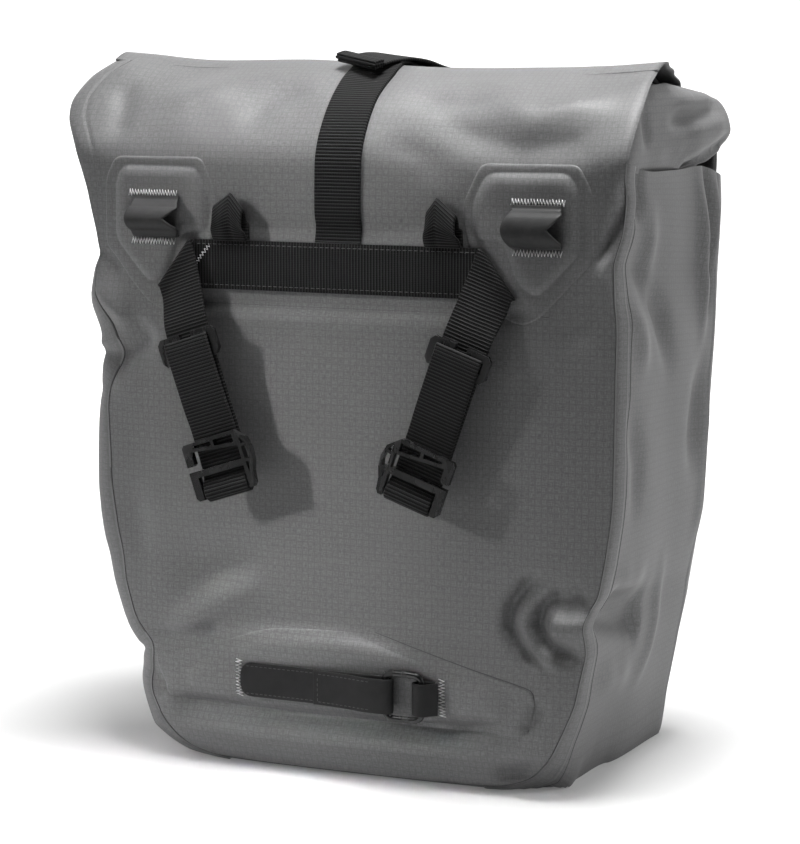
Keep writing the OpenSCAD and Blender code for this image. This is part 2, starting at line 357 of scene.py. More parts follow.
def cloth_material(name, tone=1.0):
    k = Nodes(name)
    u, v = k.uv()
    rip = k.m("MAXIMUM", k.line(u, *RIP_GRID), k.line(v, *RIP_GRID))
    weft = k.noise(k.vec(k.mul(u, 0.10), v), 3400.0, 2.0, 0.6)
    warp = k.noise(k.vec(u, k.mul(v, 0.10), 5.0), 3400.0, 2.0, 0.6)
    thread = k.mul(k.add(weft, warp), 0.5)
    streak = k.noise(k.vec(u, k.mul(v, 3.0), 9.0), 34.0, 3.0, 0.6)
    scuff = k.noise(k.vec(u, v, 2.0), 9.0, 3.0, 0.55)
    c = k.mix(k.band(thread, 0.36, 0.64), grey(0.068 * tone), grey(0.136 * tone))
    slub = k.noise(k.vec(k.mul(u, 0.05), v, 13.0), 1150.0, 2.0, 0.6)
    slub = k.mul(k.band(slub, 0.58, 0.74), k.band(k.noise(k.vec(u, v, 4.0), 60.0, 2.0, 0.5), 0.45, 0.70))
    c = k.mix(k.mul(rip, 0.42), c, grey(0.066 * tone))
    c = k.mix(k.mul(slub, 0.32), c, grey(0.190 * tone))
    c = k.mix(k.band(streak, 0.50, 0.80, 0.0, 0.22), c, grey(0.140 * tone))
    c = k.mix(k.band(scuff, 0.35, 0.75, 0.0, 0.20), c, grey(0.084 * tone))
    height = k.add(k.mul(rip, 0.40), k.mul(thread, 0.7))
    nrm = k.bump(height, 0.30, 0.00015)
    wide = k.noise(k.vec(u, v, 7.0), 26.0, 2.0, 0.5)
    nrm = k.bump(wide, 0.09, 0.0030, nrm)
    k.set(Base_Color=c, Roughness=k.band(thread, 0.3, 0.7, 0.48, 0.58), Normal=nrm,
          Sheen_Weight=0.02, Sheen_Roughness=0.5, Specular_IOR_Level=0.42)
    return k.mat


def webbing_material(name, pitch=0.0022, tone=1.0):
    k = Nodes(name)
    u, v = k.uv()
    wave = k.wave(k.mul(v, 2 * math.pi / pitch))
    shift = k.mul(k.m("SIGN", k.m("SINE", k.mul(u, 2 * math.pi / 0.0018))), pitch / 4)
    weft = k.wave(k.mul(k.add(v, shift), 4 * math.pi / pitch))
    cols = k.m("ABSOLUTE", k.m("SINE", k.mul(u, math.pi / 0.0009)))
    fuzz = k.noise(k.vec(u, k.mul(v, 0.3)), 2600.0, 2.0, 0.6)
    relief = k.add(k.mul(wave, 0.75), k.mul(k.mul(cols, weft), 0.45))
    # painted shade and highlight: the weave's grooves are painted darker and its ribs lighter, following the
    # same relief as the bump
    c = k.mix(k.band(relief, 0.25, 1.05), grey(0.0012 * tone), grey(0.0240 * tone))
    c = k.mix(k.band(fuzz, 0.54, 0.80, 0.0, 0.30), c, grey(0.034 * tone))
    nrm = k.bump(k.add(relief, k.mul(fuzz, 0.25)), 0.85, 0.00050)
    k.set(Base_Color=c, Roughness=0.70, Normal=nrm, Specular_IOR_Level=0.12)
    return k.mat


def rubber_material(name, tone=1.0):
    k = Nodes(name)
    u, v = k.uv()
    grain = k.noise(k.vec(u, v), 2200.0, 3.0, 0.6)
    patch = k.noise(k.vec(u, v, 3.0), 120.0, 3.0, 0.6)
    c = k.mix(k.band(patch, 0.3, 0.7), grey(0.020 * tone), grey(0.034 * tone))
    c = k.mix(k.band(grain, 0.55, 0.8, 0.0, 0.4), c, grey(0.048 * tone))
    k.set(Base_Color=c, Roughness=k.band(patch, 0.3, 0.7, 0.46, 0.58), Specular_IOR_Level=0.18,
          Normal=k.bump(k.add(grain, k.mul(patch, 0.4)), 0.30, 0.00016))
    return k.mat


def plastic_material(name, tone=1.0, rough=0.25):
    k = Nodes(name)
    x, y, z = k.pos()
    p = k.vec(x, y, z)
    grain = k.noise(p, 1900.0, 3.0, 0.6)
    flow = k.noise(k.vec(x, y, k.mul(z, 0.35)), 160.0, 3.0, 0.5)
    c = k.mix(k.band(flow, 0.35, 0.7), grey(0.006 * tone), grey(0.011 * tone))
    c = k.mix(k.band(grain, 0.58, 0.8, 0.0, 0.35), c, grey(0.028 * tone))
    k.set(Base_Color=c, Roughness=k.band(flow, 0.3, 0.7, rough - 0.05, rough + 0.08),
          Normal=k.bump(grain, 0.28, 0.00012), Specular_IOR_Level=0.5)
    return k.mat


def thread_material(name, tone):
    k = Nodes(name)
    u, v = k.uv()
    twist = k.wave(k.mul(k.add(v, k.mul(u, 0.6)), 2 * math.pi / 0.0006))
    # painted shade: the furrows of the twist are painted darker, following the bump
    c = k.mix(twist, grey(tone * 0.62), grey(tone))
    k.set(Base_Color=c, Roughness=0.62, Normal=k.bump(twist, 0.5, 0.00012), Sheen_Weight=0.1)
    return k.mat


CLOTH = cloth_material("ripstop_cloth")
CLOTH_PATCH = cloth_material("ripstop_patch", 1.02)
WEB = webbing_material("webbing_wide", 0.0017)
WEB_FINE = webbing_material("webbing_fine", 0.0016, 1.15)
RUBBER = rubber_material("rubberised_strap", 0.85)
# a darker copy of the rubber for the lower strap and its ring loop: partly their own darker rubber, partly
# painted shade of the recess they lie in
RUBBER_DARK_SHADED = rubber_material("rubberised_low_shaded", 0.38)
PLASTIC = plastic_material("black_plastic")
SHEET = plastic_material("sheet_plastic", 1.4, 0.5)
THREAD_WHITE = thread_material("thread_white", 0.85)
THREAD_BLACK = thread_material("thread_black", 0.030)


def dress(obj, material):
    obj.data.materials.clear()
    obj.data.materials.append(material)
    return obj


# ---------------------------------------------------------------- the bag's surface
# seams between the mounting panel and the side strips, as (x, z)
RIGHT_SEAM = [(75, 2.2), (87.5, 3.6), (100.5, 7.8), (110.2, 17.9), (114.4, 23), (119.9, 35.4),
              (125.7, 49.5), (129.1, 66.3), (131.1, 75), (131.2, 88), (131.9, 97), (137, 105),
              (140.1, 121.5), (143, 142), (143.9, 155), (144.2, 190), (144.9, 242), (144.2, 252),
              (143, 268.6), (146.5, 283), (147.3, 304), (149.6, 318)]
LEFT_SEAM = [(-64.5, 1.8), (-83.8, 3.8), (-95, 11.4), (-103, 21), (-109, 33.7), (-110.8, 42.4),
             (-108.7, 51.4), (-108.6, 60.3), (-112.1, 64.4), (-120.1, 74), (-126, 92.6), (-127.7, 107),
             (-130.7, 120), (-133.6, 141.5), (-134.5, 163), (-135.6, 185), (-134.6, 194), (-128, 206),
             (-127, 215.5), (-131.5, 229.6), (-138.4, 238), (-142, 246), (-142, 256), (-139.4, 265),
             (-141, 276), (-144.5, 290), (-147.5, 304), (-150.5, 318)]
# the same outline on the far side
RIGHT_FAR = [(104, 2.2), (114, 3.5), (119.5, 9), (122.5, 20), (135.4, 79), (142.5, 129), (144.6, 168),
             (147.6, 216), (149.2, 254), (150.7, 290), (150, 303)]
LEFT_FAR = [(-90, 2.2), (-104, 3.2), (-112, 9), (-117, 18), (-122, 44), (-130, 79), (-136, 129),
            (-139, 168), (-143, 216), (-145, 254), (-148, 290), (-149, 303)]
# how the mounting panel turns over into the flap, as (y, z), with the length along it from the floor
PROFILE = curve([(FY, 0), (FY, 120), (FY, 240), (FY, 292), (-79.9, 306), (-79.0, 318), (-74, 329.6),
                 (-62, 344.2),
                 (-48, 355.2), (-36, 361.2), (-29, 363.9), (-24, 365.0), (-18, 365.0)], 1200)
PROFILE_S = lengths(PROFILE)
FLAP_END = float(np.interp(-24.6, PROFILE[:, 0], PROFILE_S))
SAG = curve([(-152, 3.9), (-132, 2.4), (-112, 0.4), (-92, -0.5), (-40, 0), (0, -2.2), (35, -3.8),
             (80, -3.6), (120, -2.6), (152, -0.3)], 300)
RIGHT_FLAP = [(150.6, 318), (151.6, 334), (152, 352), (151, 370), (150.4, 392)]
LEFT_FLAP = [(-150, 318), (-154.5, 328), (-160, 338), (-162.5, 350), (-158, 366), (-152.5, 378),
             (-149.5, 392)]


def soft_edge(pts, values, width=2.2):
    """Position at each of values along a smooth version of the line pts, given as (position, height)."""
    p = np.array(pts, float)
    fine = np.arange(-12, 420, 0.5)
    x = np.interp(fine, p[:, 1], p[:, 0])
    k = np.exp(-0.5 * (np.arange(-12, 12.5, 0.5) / width) ** 2)
    pad = np.concatenate([np.full(24, x[0]), x, np.full(24, x[-1])])
    x = np.convolve(pad, k / k.sum(), mode="valid")
    return np.interp(values, fine, x)


def ridge_sag(x):
    """How far the folded-over top stands above its straight line at x, in mm."""
    return np.interp(x, SAG[:, 0], SAG[:, 1])


def panel_dip(x, s):
    """How far the panel and flap lie behind their flat shape, in mm, at x and length s up the panel."""
    x, s = np.broadcast_arrays(np.asarray(x, float), np.asarray(s, float))
    d = np.zeros(x.shape)
    low = step(0, 10, s)
    # edges rounded into the seams
    xr = np.where(s < SHOULDER, soft_edge(RIGHT_SEAM, s), soft_edge(RIGHT_FLAP, s))
    xl = np.where(s < SHOULDER, soft_edge(LEFT_SEAM, s), soft_edge(LEFT_FLAP, s))
    dr, dl = np.maximum(xr - x, 0), np.maximum(x - xl, 0)
    on_panel = 1 - step(296, 322, s)
    d += on_panel * (2.2 * np.exp(-dr / 4.0) + 2.6 * np.exp(-dl / 5.5))
    d += on_panel * (1.8 * np.exp(-(dr / 16) ** 2) + 3.5 * np.exp(-(dl / 20) ** 2)) * step(20, 120, s)
    d += 3.4 * np.exp(-s / 5.0) + 3.2 * np.exp(-((s / 15) ** 2))
    # edges of the flap turn down a little, with a weld line inside them
    fl = 1 - on_panel
    d += fl * (1.3 * np.exp(-dr / 1.6) + 2.4 * np.exp(-dl / 4.0))
    d += fl * 0.55 * np.exp(-((dl - 11) / 0.9) ** 2)
    # gentle crown of the filled bag
    d -= 2.0 * np.exp(-((x - 6) / 85) ** 2 - ((s - 150) / 80) ** 2)
    d -= 1.6 * np.exp(-((x + 20) / 70) ** 2 - ((s - 20) / 14) ** 2)
    # pinches beside the corner patches
    d = add_folds(d, x, s, [
        ([(153, 316), (148, 302), (142, 284), (134, 262)], 5.0, 5.2, 0.6, 0.3),
        ([(145, 286), (138.5, 266), (142, 250), (142, 232)], 5.0, -3.0, 1.0, 0.35),
        ([(139, 250), (128, 236), (114, 226)], 7, 2.2, 1.2, 0.5),
        ([(-144, 268), (-132, 262), (-120, 250)], 5.0, 2.6, 0.8, 0.35),
        ([(-147, 246), (-136, 244), (-124, 234), (-116, 226)], 6.5, -4.0, 1.0, 0.35),
        ([(-134, 212), (-124, 212), (-112, 220), (-104, 230)], 7.5, 5.6, 0.8, 0.3),
        ([(-136, 196), (-122, 198), (-110, 206)], 7, -2.2, 1.0, 0.4),
        ([(-116, 190), (-112, 168), (-106, 140)], 16, 1.6, 1.0, 0.5),
    ])
    # dimple by the right-hand seam
    d = add_folds(d, x, s, [
        ([(113, 119), (101, 110), (92.5, 98), (91.5, 88), (96.5, 79), (106, 70), (116, 63)], 6.5, 6.4, 0.55,
         0.25),
        ([(104, 104), (98, 92), (100.5, 81), (109, 73), (121, 66)], 3.8, -3.2, 1.0, 0.35),
        ([(119, 108), (109.5, 99), (106.0, 90), (109.5, 81), (118, 76), (131, 73.5)], 4.2, 6.6, 0.7, 0.22),
    ])
    d -= bump(x, s, 112.0, 97, 3.4, 6.0, 1.2)
    d = add_folds(d, x, s, [
        ([(113.5, 91.0), (122, 90.0), (134, 91)], 5.6, -6.0, 1.5, 0.12),
        ([(112, 104), (122, 104), (133, 108)], 6.0, 3.4, 1.0, 0.25),
        ([(114, 114), (124, 120), (130, 132)], 7, -1.6, 1.0, 0.4),
    ])
    # the strap's tunnel lies flat on the lower patch
    d += 1.9 * step(-72, -56, x) * step(-74, -58, -x) * np.exp(-((s - 49) / 15) ** 4)
    d -= fold(x, s, [(-70, 66), (-40, 72), (0, 73), (34, 68), (62, 60)], 4.6, 2.4, 1.6, 0.25)
    # folds on the left of the panel, above the lower patch
    b = s - 3
    d = add_folds(d, x, b, [
        ([(-108, 56), (-84, 72), (-60, 88), (-34, 100)], 9, -4.4, 0.8, 0.35),
        ([(-104, 92), (-78, 104), (-50, 108), (-26, 98)], 15, 4.0, 1.0, 0.4),
        ([(-114, 60), (-100, 64), (-80, 67), (-60, 72)], 5, 4.4, 0.8, 0.3),
        ([(-96, 148), (-80, 134), (-56, 128)], 18, -2.2, 1.0, 0.5),
        ([(-120, 150), (-117, 120), (-112, 92)], 10, 2.6, 1.0, 0.4),
        ([(-46, 128), (-20, 112), (10, 104)], 16, 1.3, 1.0, 0.5),
    ])
    # panel pushed out around and below the lower patch
    d -= 2.6 * step(0, 7, s - 29) * step(0, 20, 84 - s) * np.exp(-(x / 96) ** 4)
    d = add_folds(d, x, s, [
        ([(-100, 33), (-60, 32), (-10, 31.5), (40, 32), (70, 33), (96, 35)], 3.8, 5.6, 1.9, 0.10),
        ([(-96, 22), (-40, 21), (20, 21), (70, 22), (98, 25)], 6.5, -3.2, 1.0, 0.12),
        ([(108, 52), (105, 42), (99, 33)], 4.5, 3.4, 1.0, 0.25),
    ])
    d -= bump(x, s, 103, 24, 9, 6, 2.6)
    d += fold(x, s, [(-114, 48), (-105, 42), (-98, 36)], 5, 2.8, 1.0, 0.3)
    # lower right-hand corner
    d += bump(x, s, 98, 11, 11, 4.5, 4.0)
    d -= bump(x, s, 112, 30, 6, 9, 2.0)
    d += fold(x, s, [(80, 8), (98, 13), (112, 24)], 4, 2.2, 1.0, 0.3)
    # webbing pulls the panel in below the band
    d += 1.5 * np.exp(-((s - 243) / 5) ** 2) * step(-112, -95, x) * step(-112, -95, -x)
    d -= fold(x, s, [(-92, 236), (0, 236.5), (92, 236)], 6, 1.2, 1.0, 0.1)
    # between the patches, above the band
    d += fold(x, s, [(-62, 285), (-20, 283), (20, 283), (60, 286)], 4.5, 1.8, 1.4, 0.2)
    # soft creases of the flap
    d = add_folds(d, x, s, [
        ([(40, 344), (66, 332), (96, 324), (124, 328), (148, 344)], 8, 3.4, 1.5, 0.35),
        ([(70, 350), (100, 342), (140, 356)], 8, -2.0, 1.0, 0.35),
        ([(20, 358), (52, 352), (84, 356)], 8, 2.2, 1.0, 0.4),
        ([(-22, 360), (-44, 352), (-62, 332)], 9, 2.4, 1.0, 0.4),
        ([(-60, 364), (-90, 350), (-110, 328)], 14, -2.6, 1.0, 0.4),
        ([(-134, 364), (-128, 344), (-126, 322)], 7, 2.0, 1.0, 0.3),
        ([(16, 330), (44, 320), (66, 306)], 8, 1.8, 1.0, 0.4),
    ])
    d += 0.9 * np.sin(x / 17 + 0.6) * np.exp(-((s - 372) / 12) ** 2) * step(0, 14, 151 - np.abs(x))
    # slow unevenness
    d += 0.5 * np.sin(x / 21 + s / 37) * np.sin(s / 29 - x / 53 + 1.0) * low
    return d


def face(x, s, lift=0.0):
    """Points on the mounting panel and flap at x and length s up the panel, lift mm proud of the cloth."""
    x, s = np.broadcast_arrays(np.asarray(x, float), np.asarray(s, float))
    y, z = np.interp(s, PROFILE_S, PROFILE[:, 0]), np.interp(s, PROFILE_S, PROFILE[:, 1])
    y2, z2 = np.interp(s + 1, PROFILE_S, PROFILE[:, 0]), np.interp(s + 1, PROFILE_S, PROFILE[:, 1])
    y1, z1 = np.interp(s - 1, PROFILE_S, PROFILE[:, 0]), np.interp(s - 1, PROFILE_S, PROFILE[:, 1])
    ty, tz = y2 - y1, z2 - z1
    n = np.hypot(ty, tz) + TINY
    ny, nz = -tz / n, ty / n
    low = s < 2
    ny, nz = np.where(low, -1.0, ny), np.where(low, 0.0, nz)
    h = np.asarray(lift, float) - panel_dip(x, s)
    return np.stack([x, y + ny * h, z + nz * h + ridge_sag(x) * step(338, 382, s)], -1)


# ---------------------------------------------------------------- shell cloth with the flap
NX = 200
rows = np.concatenate([SHOULDER * (0.30 * np.linspace(0, 1, 165) ** 2 + 0.70 * np.linspace(0, 1, 165)),
                       np.linspace(SHOULDER, FLAP_END, 38)[1:]])
NB = 165
u = np.linspace(-1, 1, NX + 1)
u = 0.62 * u + 0.38 * np.sin(u * math.pi / 2)


def near_grid():
    """Where the points of the mounting panel and flap lie: across it, and as length up it."""
    xr = np.where(rows <= SHOULDER, soft_edge(RIGHT_SEAM, rows), soft_edge(RIGHT_FLAP, rows))
    xl = np.where(rows > 290, soft_edge(LEFT_SEAM + LEFT_FLAP[1:], rows, 4.0), soft_edge(LEFT_SEAM, rows))
    mid, half = (xr + xl) / 2, (xr - xl) / 2
    x = mid[:, None] + half[:, None] * u[None, :]
    s = np.repeat(rows[:, None], NX + 1, 1)
    # bottom edge: the floor seam rises a little towards the corners
    s = np.maximum(s, 2.4 + 1.6 * np.abs(x / 90) ** 3 * (s < 3))
    return x, s


# how far the side strips bulge past the seams, as (height, bulge)
LEFT_BULGE = [(0, 2), (8, 7), (21, 12.5), (34, 10.5), (46, 11), (57, 12), (64, 14), (75, 12), (92, 13),
              (115, 15.5), (129, 15.5), (145, 14.5), (163, 13.4), (177, 12), (191, 9.8), (204, 15),
              (213, 17.2), (224, 16.2), (236, 10.5), (244, 8.4), (253, 5.6), (265, 1.0), (276, 0.4),
              (290, 0.2), (318, 0.2)]
RIGHT_BULGE = [(0, 3), (14, 6), (30, 4), (60, 1.8), (90, 1.0), (120, 2.6), (200, 3.0), (240, 2.4),
               (268, 1.0), (300, 1.5), (318, 1.0)]


def strip_folds(y, z, t, right, left):
    """Creases of the side strips at depth y and height z, a share t of the way to the far side."""
    soft = np.where(right, 1.0, 0.7) * add_folds(0.0, y, z, [
        ([(44, 318), (52, 292), (58, 262), (60, 226)], 5, -5.0, 0.6, 0.3),
        ([(32, 312), (43, 282), (50, 250), (52, 210)], 6, 4.4, 1.0, 0.4),
        ([(62, 310), (66, 286), (68, 250)], 4.5, 2.0, 1.0, 0.4),
        ([(-60, 322), (-58, 304), (-64, 284)], 5.5, -3.6, 1.0, 0.3),
        ([(-46, 306), (-36, 266), (-30, 225)], 9, 3.0, 1.0, 0.4),
        ([(-70, 276), (-46, 262), (-16, 236), (4, 200)], 9, -4.6, 1.0, 0.4),
        ([(-70, 252), (-52, 236), (-40, 208)], 9, 2.6, 1.0, 0.4),
        ([(-70, 204), (-50, 168), (-48, 130)], 9, -2.6, 1.0, 0.4),
        ([(60, 220), (50, 180), (48, 140)], 12, -4.2, 1.0, 0.4),
        ([(70, 200), (70, 150), (66, 100)], 8, 2.0, 1.0, 0.3),
        ([(-67, 96), (-48, 90), (-20, 82), (0, 80)], 9 + 7 * t, -7.0, 0.8, 0.12),
        ([(-70, 116), (-40, 108), (-8, 104)], 8, 3.0, 1.0, 0.4),
        ([(-66, 64), (-36, 56), (0, 52)], 9, 3.4, 1.0, 0.4),
        ([(10, 118), (24, 88), (20, 60), (0, 36)], 6, 2.4, 1.0, 0.4),
        ([(-60, 14), (-30, 16), (10, 10)], 7, -3.0, 1.0, 0.3),
    ])
    soft += left * add_folds(0.0, y, z, [
        ([(-80, 58), (-60, 60), (-30, 66), (10, 70)], 8, -4.5, 1.0, 0.2),
        ([(-80, 262), (-50, 256), (0, 250)], 9, -3.5, 1.0, 0.2),
    ])
    return soft + 0.8 * np.sin(z / 31 + y / 26) * np.sin(y / 19 + 0.8)


def make_shell():
    """The mounting panel and flap, the strip round the sides and floor, and the outer panel, as one sheet.
    Also gives the seam between panel and strip, and the strip's rows of points from near to far."""
    x, s = near_grid()
    near = face(x, s)
    verts = near.reshape(-1, 3).tolist()
    uv = np.stack([x, s], -1).reshape(-1, 2).tolist()
    nv = NX + 1
    faces = grid_faces(len(rows), nv)
    # chain of seam vertices: right side downwards, floor, left side upwards
    chain = [j * nv + NX for j in range(NB - 1, -1, -1)]
    chain += range(NX - 1, -1, -1)
    chain += [j * nv for j in range(1, NB)]
    cn = near.reshape(-1, 3)[chain]
    r_top = rows[:NB] * 303 / SHOULDER
    far_r = np.stack([soft_edge(RIGHT_FAR, r_top, 3), np.full(NB, BY), r_top], -1)
    far_l = np.stack([soft_edge(LEFT_FAR, r_top, 3), np.full(NB, BY), r_top], -1)
    far_r[:, 2] = np.maximum(far_r[:, 2], 2.2)
    far_l[:, 2] = np.maximum(far_l[:, 2], 2.2)
    bx = far_l[0, 0] + (far_r[0, 0] - far_l[0, 0]) * (u + 1) / 2
    floor_row = np.stack([bx, np.full(NX + 1, BY), np.full(NX + 1, 2.2)], -1)
    cf = np.concatenate([far_r[::-1], floor_row[NX - 1:0:-1], far_l], 0)
    tang = np.gradient(cn, axis=0)
    out = np.stack([-tang[:, 2], np.zeros(len(cn)), tang[:, 0]], -1)
    k = np.ones(9) / 9
    for a in (0, 2):
        out[:, a] = np.convolve(np.pad(out[:, a], 4, mode="edge"), k, mode="valid")
    out /= np.linalg.norm(out, axis=1)[:, None] + TINY
    # outward must point away from the bag's middle
    centre = np.array([0, 0, 150.0])
    flip = np.sign(np.sum(out * (cn - centre), 1))
    out *= np.where(flip == 0, 1, flip)[:, None]
    clen = lengths(cn)
    depth = np.concatenate([[0, 0.8, 2, 4, 6.5, 8.6, 9.6, 10.4, 11.6, 14], np.linspace(17, 143, 46),
                            [146, 148.4, 149.6, 150.6, 152, 155, 158, 159.3, 160]])
    t = depth / DEPTH
    right = np.zeros(len(cn), bool)
    right[:NB] = True
    left = np.zeros(len(cn), bool)
    left[NB + NX - 1:] = True
    on_floor = ~(left | right)
    z = cn[:, 2]
    # the left strip bulges past its seam, the right one only a little
    bulge = np.where(right, np.interp(z, *np.transpose(RIGHT_BULGE)), 0)
    bulge = np.where(left, np.interp(z, *np.transpose(LEFT_BULGE)), bulge)
    rowsets = [np.array(chain)]
    levels = [cn]
    for q in range(1, len(t)):
        dq = depth[q]
        p = cn * (1 - t[q]) + cf * t[q]
        back = DEPTH - dq
        lo, hi = np.clip(1 - dq / 15, 0, 1), np.clip(1 - back / 15, 0, 1)
        b = bulge * (1 - lo**2) * (1 - hi**2 * 0.9)
        # weld strips: a raised band about 10 mm wide beside each seam, the seam itself sunk
        weld = 0.8 * step(0.2, 1.8, dq) * (1 - step(9.8, 10.6, dq))
        weld += 0.5 * step(0.2, 1.8, back) * (1 - step(9.8, 10.6, back))
        dz = z + (cf[:, 2] - z) * t[q]
        top_edge = step(292, 318, z) * (right | left)
        sag = 4.6 * math.exp(-((t[q] - 0.78) / 0.20) ** 2) * (t[q] < 0.999)
        sag -= 2.4 * math.exp(-((t[q] - 0.22) / 0.16) ** 2)
        p[:, 2] += top_edge * sag
        ybar = FY + dq
        soft = strip_folds(ybar, dz, t[q], right, left)
        b = b + soft * step(0, 12, dq) * step(0, 10, back) * (left | right) + weld
        p = p + out * b[:, None]
        # floor: flat on the ground between the seams
        sink = step(0, 9, dq) * step(0, 9, back)
        p[:, 2] = np.where(on_floor, p[:, 2] * (1 - sink) + 0.3 * sink, p[:, 2])
        square = step(4, 30, dq) * step(0, 14, back) * 0.85 * (1 - step(12, 27, z)) * right
        p[:, 2] = p[:, 2] - square * z
        near_floor = (~on_floor) & (p[:, 2] < 12)
        p[:, 2] = np.where(near_floor, np.maximum(p[:, 2], 0.3), p[:, 2])
        p[:, 2] = np.maximum(p[:, 2], 0.15)
        if q == len(t) - 1:
            p = cf.copy()
        ids = np.arange(len(p)) + len(verts)
        verts += p.tolist()
        uv += np.stack([clen * 0 + dq + 400, clen], -1).tolist()
        rowsets.append(ids)
        levels.append(p)
    for q in range(len(t) - 1):
        a, b2 = rowsets[q], rowsets[q + 1]
        faces += np.stack([a[:-1], b2[:-1], b2[1:], a[1:]], -1).tolist()
    # far panel
    far_ids = rowsets[-1]
    fr, fl = far_ids[:NB][::-1], far_ids[NB + NX - 1:]
    fb = np.concatenate([[fl[0]], far_ids[NB:NB + NX - 1][::-1], [fr[0]]])
    grid = np.empty((NB, NX + 1), int)
    grid[:, 0], grid[:, NX], grid[0, :] = fl, fr, fb
    for j in range(1, NB):
        zz = r_top[j]
        xl, xr = far_l[j, 0], far_r[j, 0]
        xs = (xl + xr) / 2 + (xr - xl) / 2 * u[1:-1]
        yy = np.full(len(xs), BY)
        edge = np.minimum(xr - xs, xs - xl)
        yy = yy + 4.0 * (1 - np.exp(-edge / 14)) * math.sin(math.pi * min(zz / 300, 1))
        yy = yy + 1.6 * (1 - np.exp(-edge / 4))
        yy = yy + 1.2 * np.sin(xs / 33 + 1.0) * np.sin(zz / 41 + 0.5) * (1 - np.exp(-edge / 12))
        yy -= 1.4 * np.exp(-((zz - 70) / 10) ** 2) * np.exp(-((xs + 60) / 50) ** 2)
        yy = add_folds(yy, xs, np.full(len(xs), zz), [
            ([(-120, 90), (-80, 104), (-40, 100)], 10, -2.0, 1.0, 0.3),
            ([(118, 250), (92, 232), (70, 226)], 9, -2.0, 1.0, 0.3),
            ([(120, 60), (90, 82), (60, 90)], 10, 1.6, 1.0, 0.3),
        ])
        ids = np.arange(len(xs)) + len(verts)
        verts += np.stack([xs, yy, np.full(len(xs), max(zz, 2.2))], -1).tolist()
        uv += np.stack([xs + 900, np.full(len(xs), zz)], -1).tolist()
        grid[j, 1:-1] = ids
    quads = np.stack([grid[:-1, 1:], grid[:-1, :-1], grid[1:, :-1], grid[1:, 1:]], -1)
    faces += quads.reshape(-1, 4).tolist()
    obj = mesh("shell_cloth", verts, faces, np.array(uv) * MM)
    return dress(obj, CLOTH), cn, levels


shell, seam_line, shell_rows = make_shell()
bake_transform(shell)
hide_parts("back_panel", "gusset", "front_panel", "roll_flap")


# ---------------------------------------------------------------- pieces laid on the panel
# darker cloth for thin lines along seams, welds, the crease under the band and the patch edge: partly the
# seams' own line, partly painted shade
SEAM_LINE_AND_GROOVE_SHADE = cloth_material("weld_line", 0.40)


def rounded(poly, r):
    """Closed outline with its corners cut to radius about r."""
    p = np.array(poly, float)
    out = []
    n = len(p)
    for i in range(n):
        a, b, c = p[i - 1], p[i], p[(i + 1) % n]
        la, lc = np.linalg.norm(a - b), np.linalg.norm(c - b)
        k = min(r, la * 0.45, lc * 0.45)
        q0, q1 = b + (a - b) / la * k, b + (c - b) / lc * k
        for t in np.linspace(0, 1, 6):
            out.append((1 - t) ** 2 * q0 + 2 * t * (1 - t) * b + t * t * q1)
    return np.array(out)


def inside(poly, x, z):
    poly = np.array(poly)
    res = np.zeros(np.shape(x), bool)
    n = len(poly)
    for i in range(n):
        x1, z1 = poly[i]
        x2, z2 = poly[(i + 1) % n]
        cond = ((z1 > z) != (z2 > z)) & (x < (x2 - x1) * (z - z1) / (z2 - z1 + 1e-12) + x1)
        res ^= cond
    return res


def depth_in(poly, x, z):
    """Distance inside the closed outline poly, negative outside."""
    d, _, _ = to_line(x, z, np.vstack([poly, poly[:1]]))
    return np.where(inside(poly, x, z), d, -d)


def even_outline(outline):
    """Points EDGE_STEP apart round a closed outline."""
    ring = np.vstack([outline, outline[:1]])
    return spread(ring, int(lengths(ring)[-1] / EDGE_STEP))[:-1]


def left_normals(outline):
    """Unit normals of a closed outline, towards the left of the way it runs."""
    t = np.roll(outline, -1, 0) - np.roll(outline, 1, 0)
    t /= np.linalg.norm(t, axis=1)[:, None] + TINY
    return np.stack([-t[:, 1], t[:, 0]], -1)


def laid(name, outline, height, pitch=2.6, surface=face, rings=(0.0, 0.35, 0.8, 1.5), extra=()):
    """A thin piece of cloth following surface inside outline. height(x, z, d) says how proud it stands at
    depth d inside its edge. rings are the depths of its rows of points, extra the outlines inside it."""
    edge = even_outline(outline)
    area = np.sum(edge[:, 0] * np.roll(edge[:, 1], -1) - np.roll(edge[:, 0], -1) * edge[:, 1])
    inwards = left_normals(edge) * (1 if area > 0 else -1)
    pts = []
    for r in rings:
        q = edge + inwards * r
        if r:
            q = q[depth_in(edge, q[:, 0], q[:, 1]) > r * 0.85]
        pts.append(q)
    n0 = len(pts[0])
    for line in extra:
        e = even_outline(line)
        for r in (-0.7, 0.0, 0.7, 1.4):
            q = e + left_normals(e) * r
            pts.append(q[depth_in(edge, q[:, 0], q[:, 1]) > 2.0])
    lo, hi = edge.min(0), edge.max(0)
    gx, gz = np.meshgrid(np.arange(lo[0], hi[0], pitch), np.arange(lo[1], hi[1], pitch))
    gx = gx + (np.arange(gx.shape[0]) % 2)[:, None] * pitch / 2
    g = np.stack([gx.ravel(), gz.ravel()], -1)
    keep = depth_in(edge, g[:, 0], g[:, 1]) > rings[-1] + 1.0
    for line in extra:
        keep &= np.abs(depth_in(line, g[:, 0], g[:, 1])) > 1.9
    pts.append(g[keep])
    p = np.vstack(pts)
    loop = [(i, (i + 1) % n0) for i in range(n0)]
    vs, _, fs, _, _, _ = delaunay_2d_cdt([Vector(q) for q in p], loop, [], 1, 1e-4)
    v2 = np.array([[a.x, a.y] for a in vs])
    d = np.maximum(depth_in(edge, v2[:, 0], v2[:, 1]), 0)
    h = height(v2[:, 0], v2[:, 1], d)
    top = surface(v2[:, 0], v2[:, 1], h)
    obj = mesh(name, top, [list(f) for f in fs], v2 * MM)
    me = obj.data
    if sum(poly.normal.y for poly in me.polygons) > 0:
        me.flip_normals()
    return obj


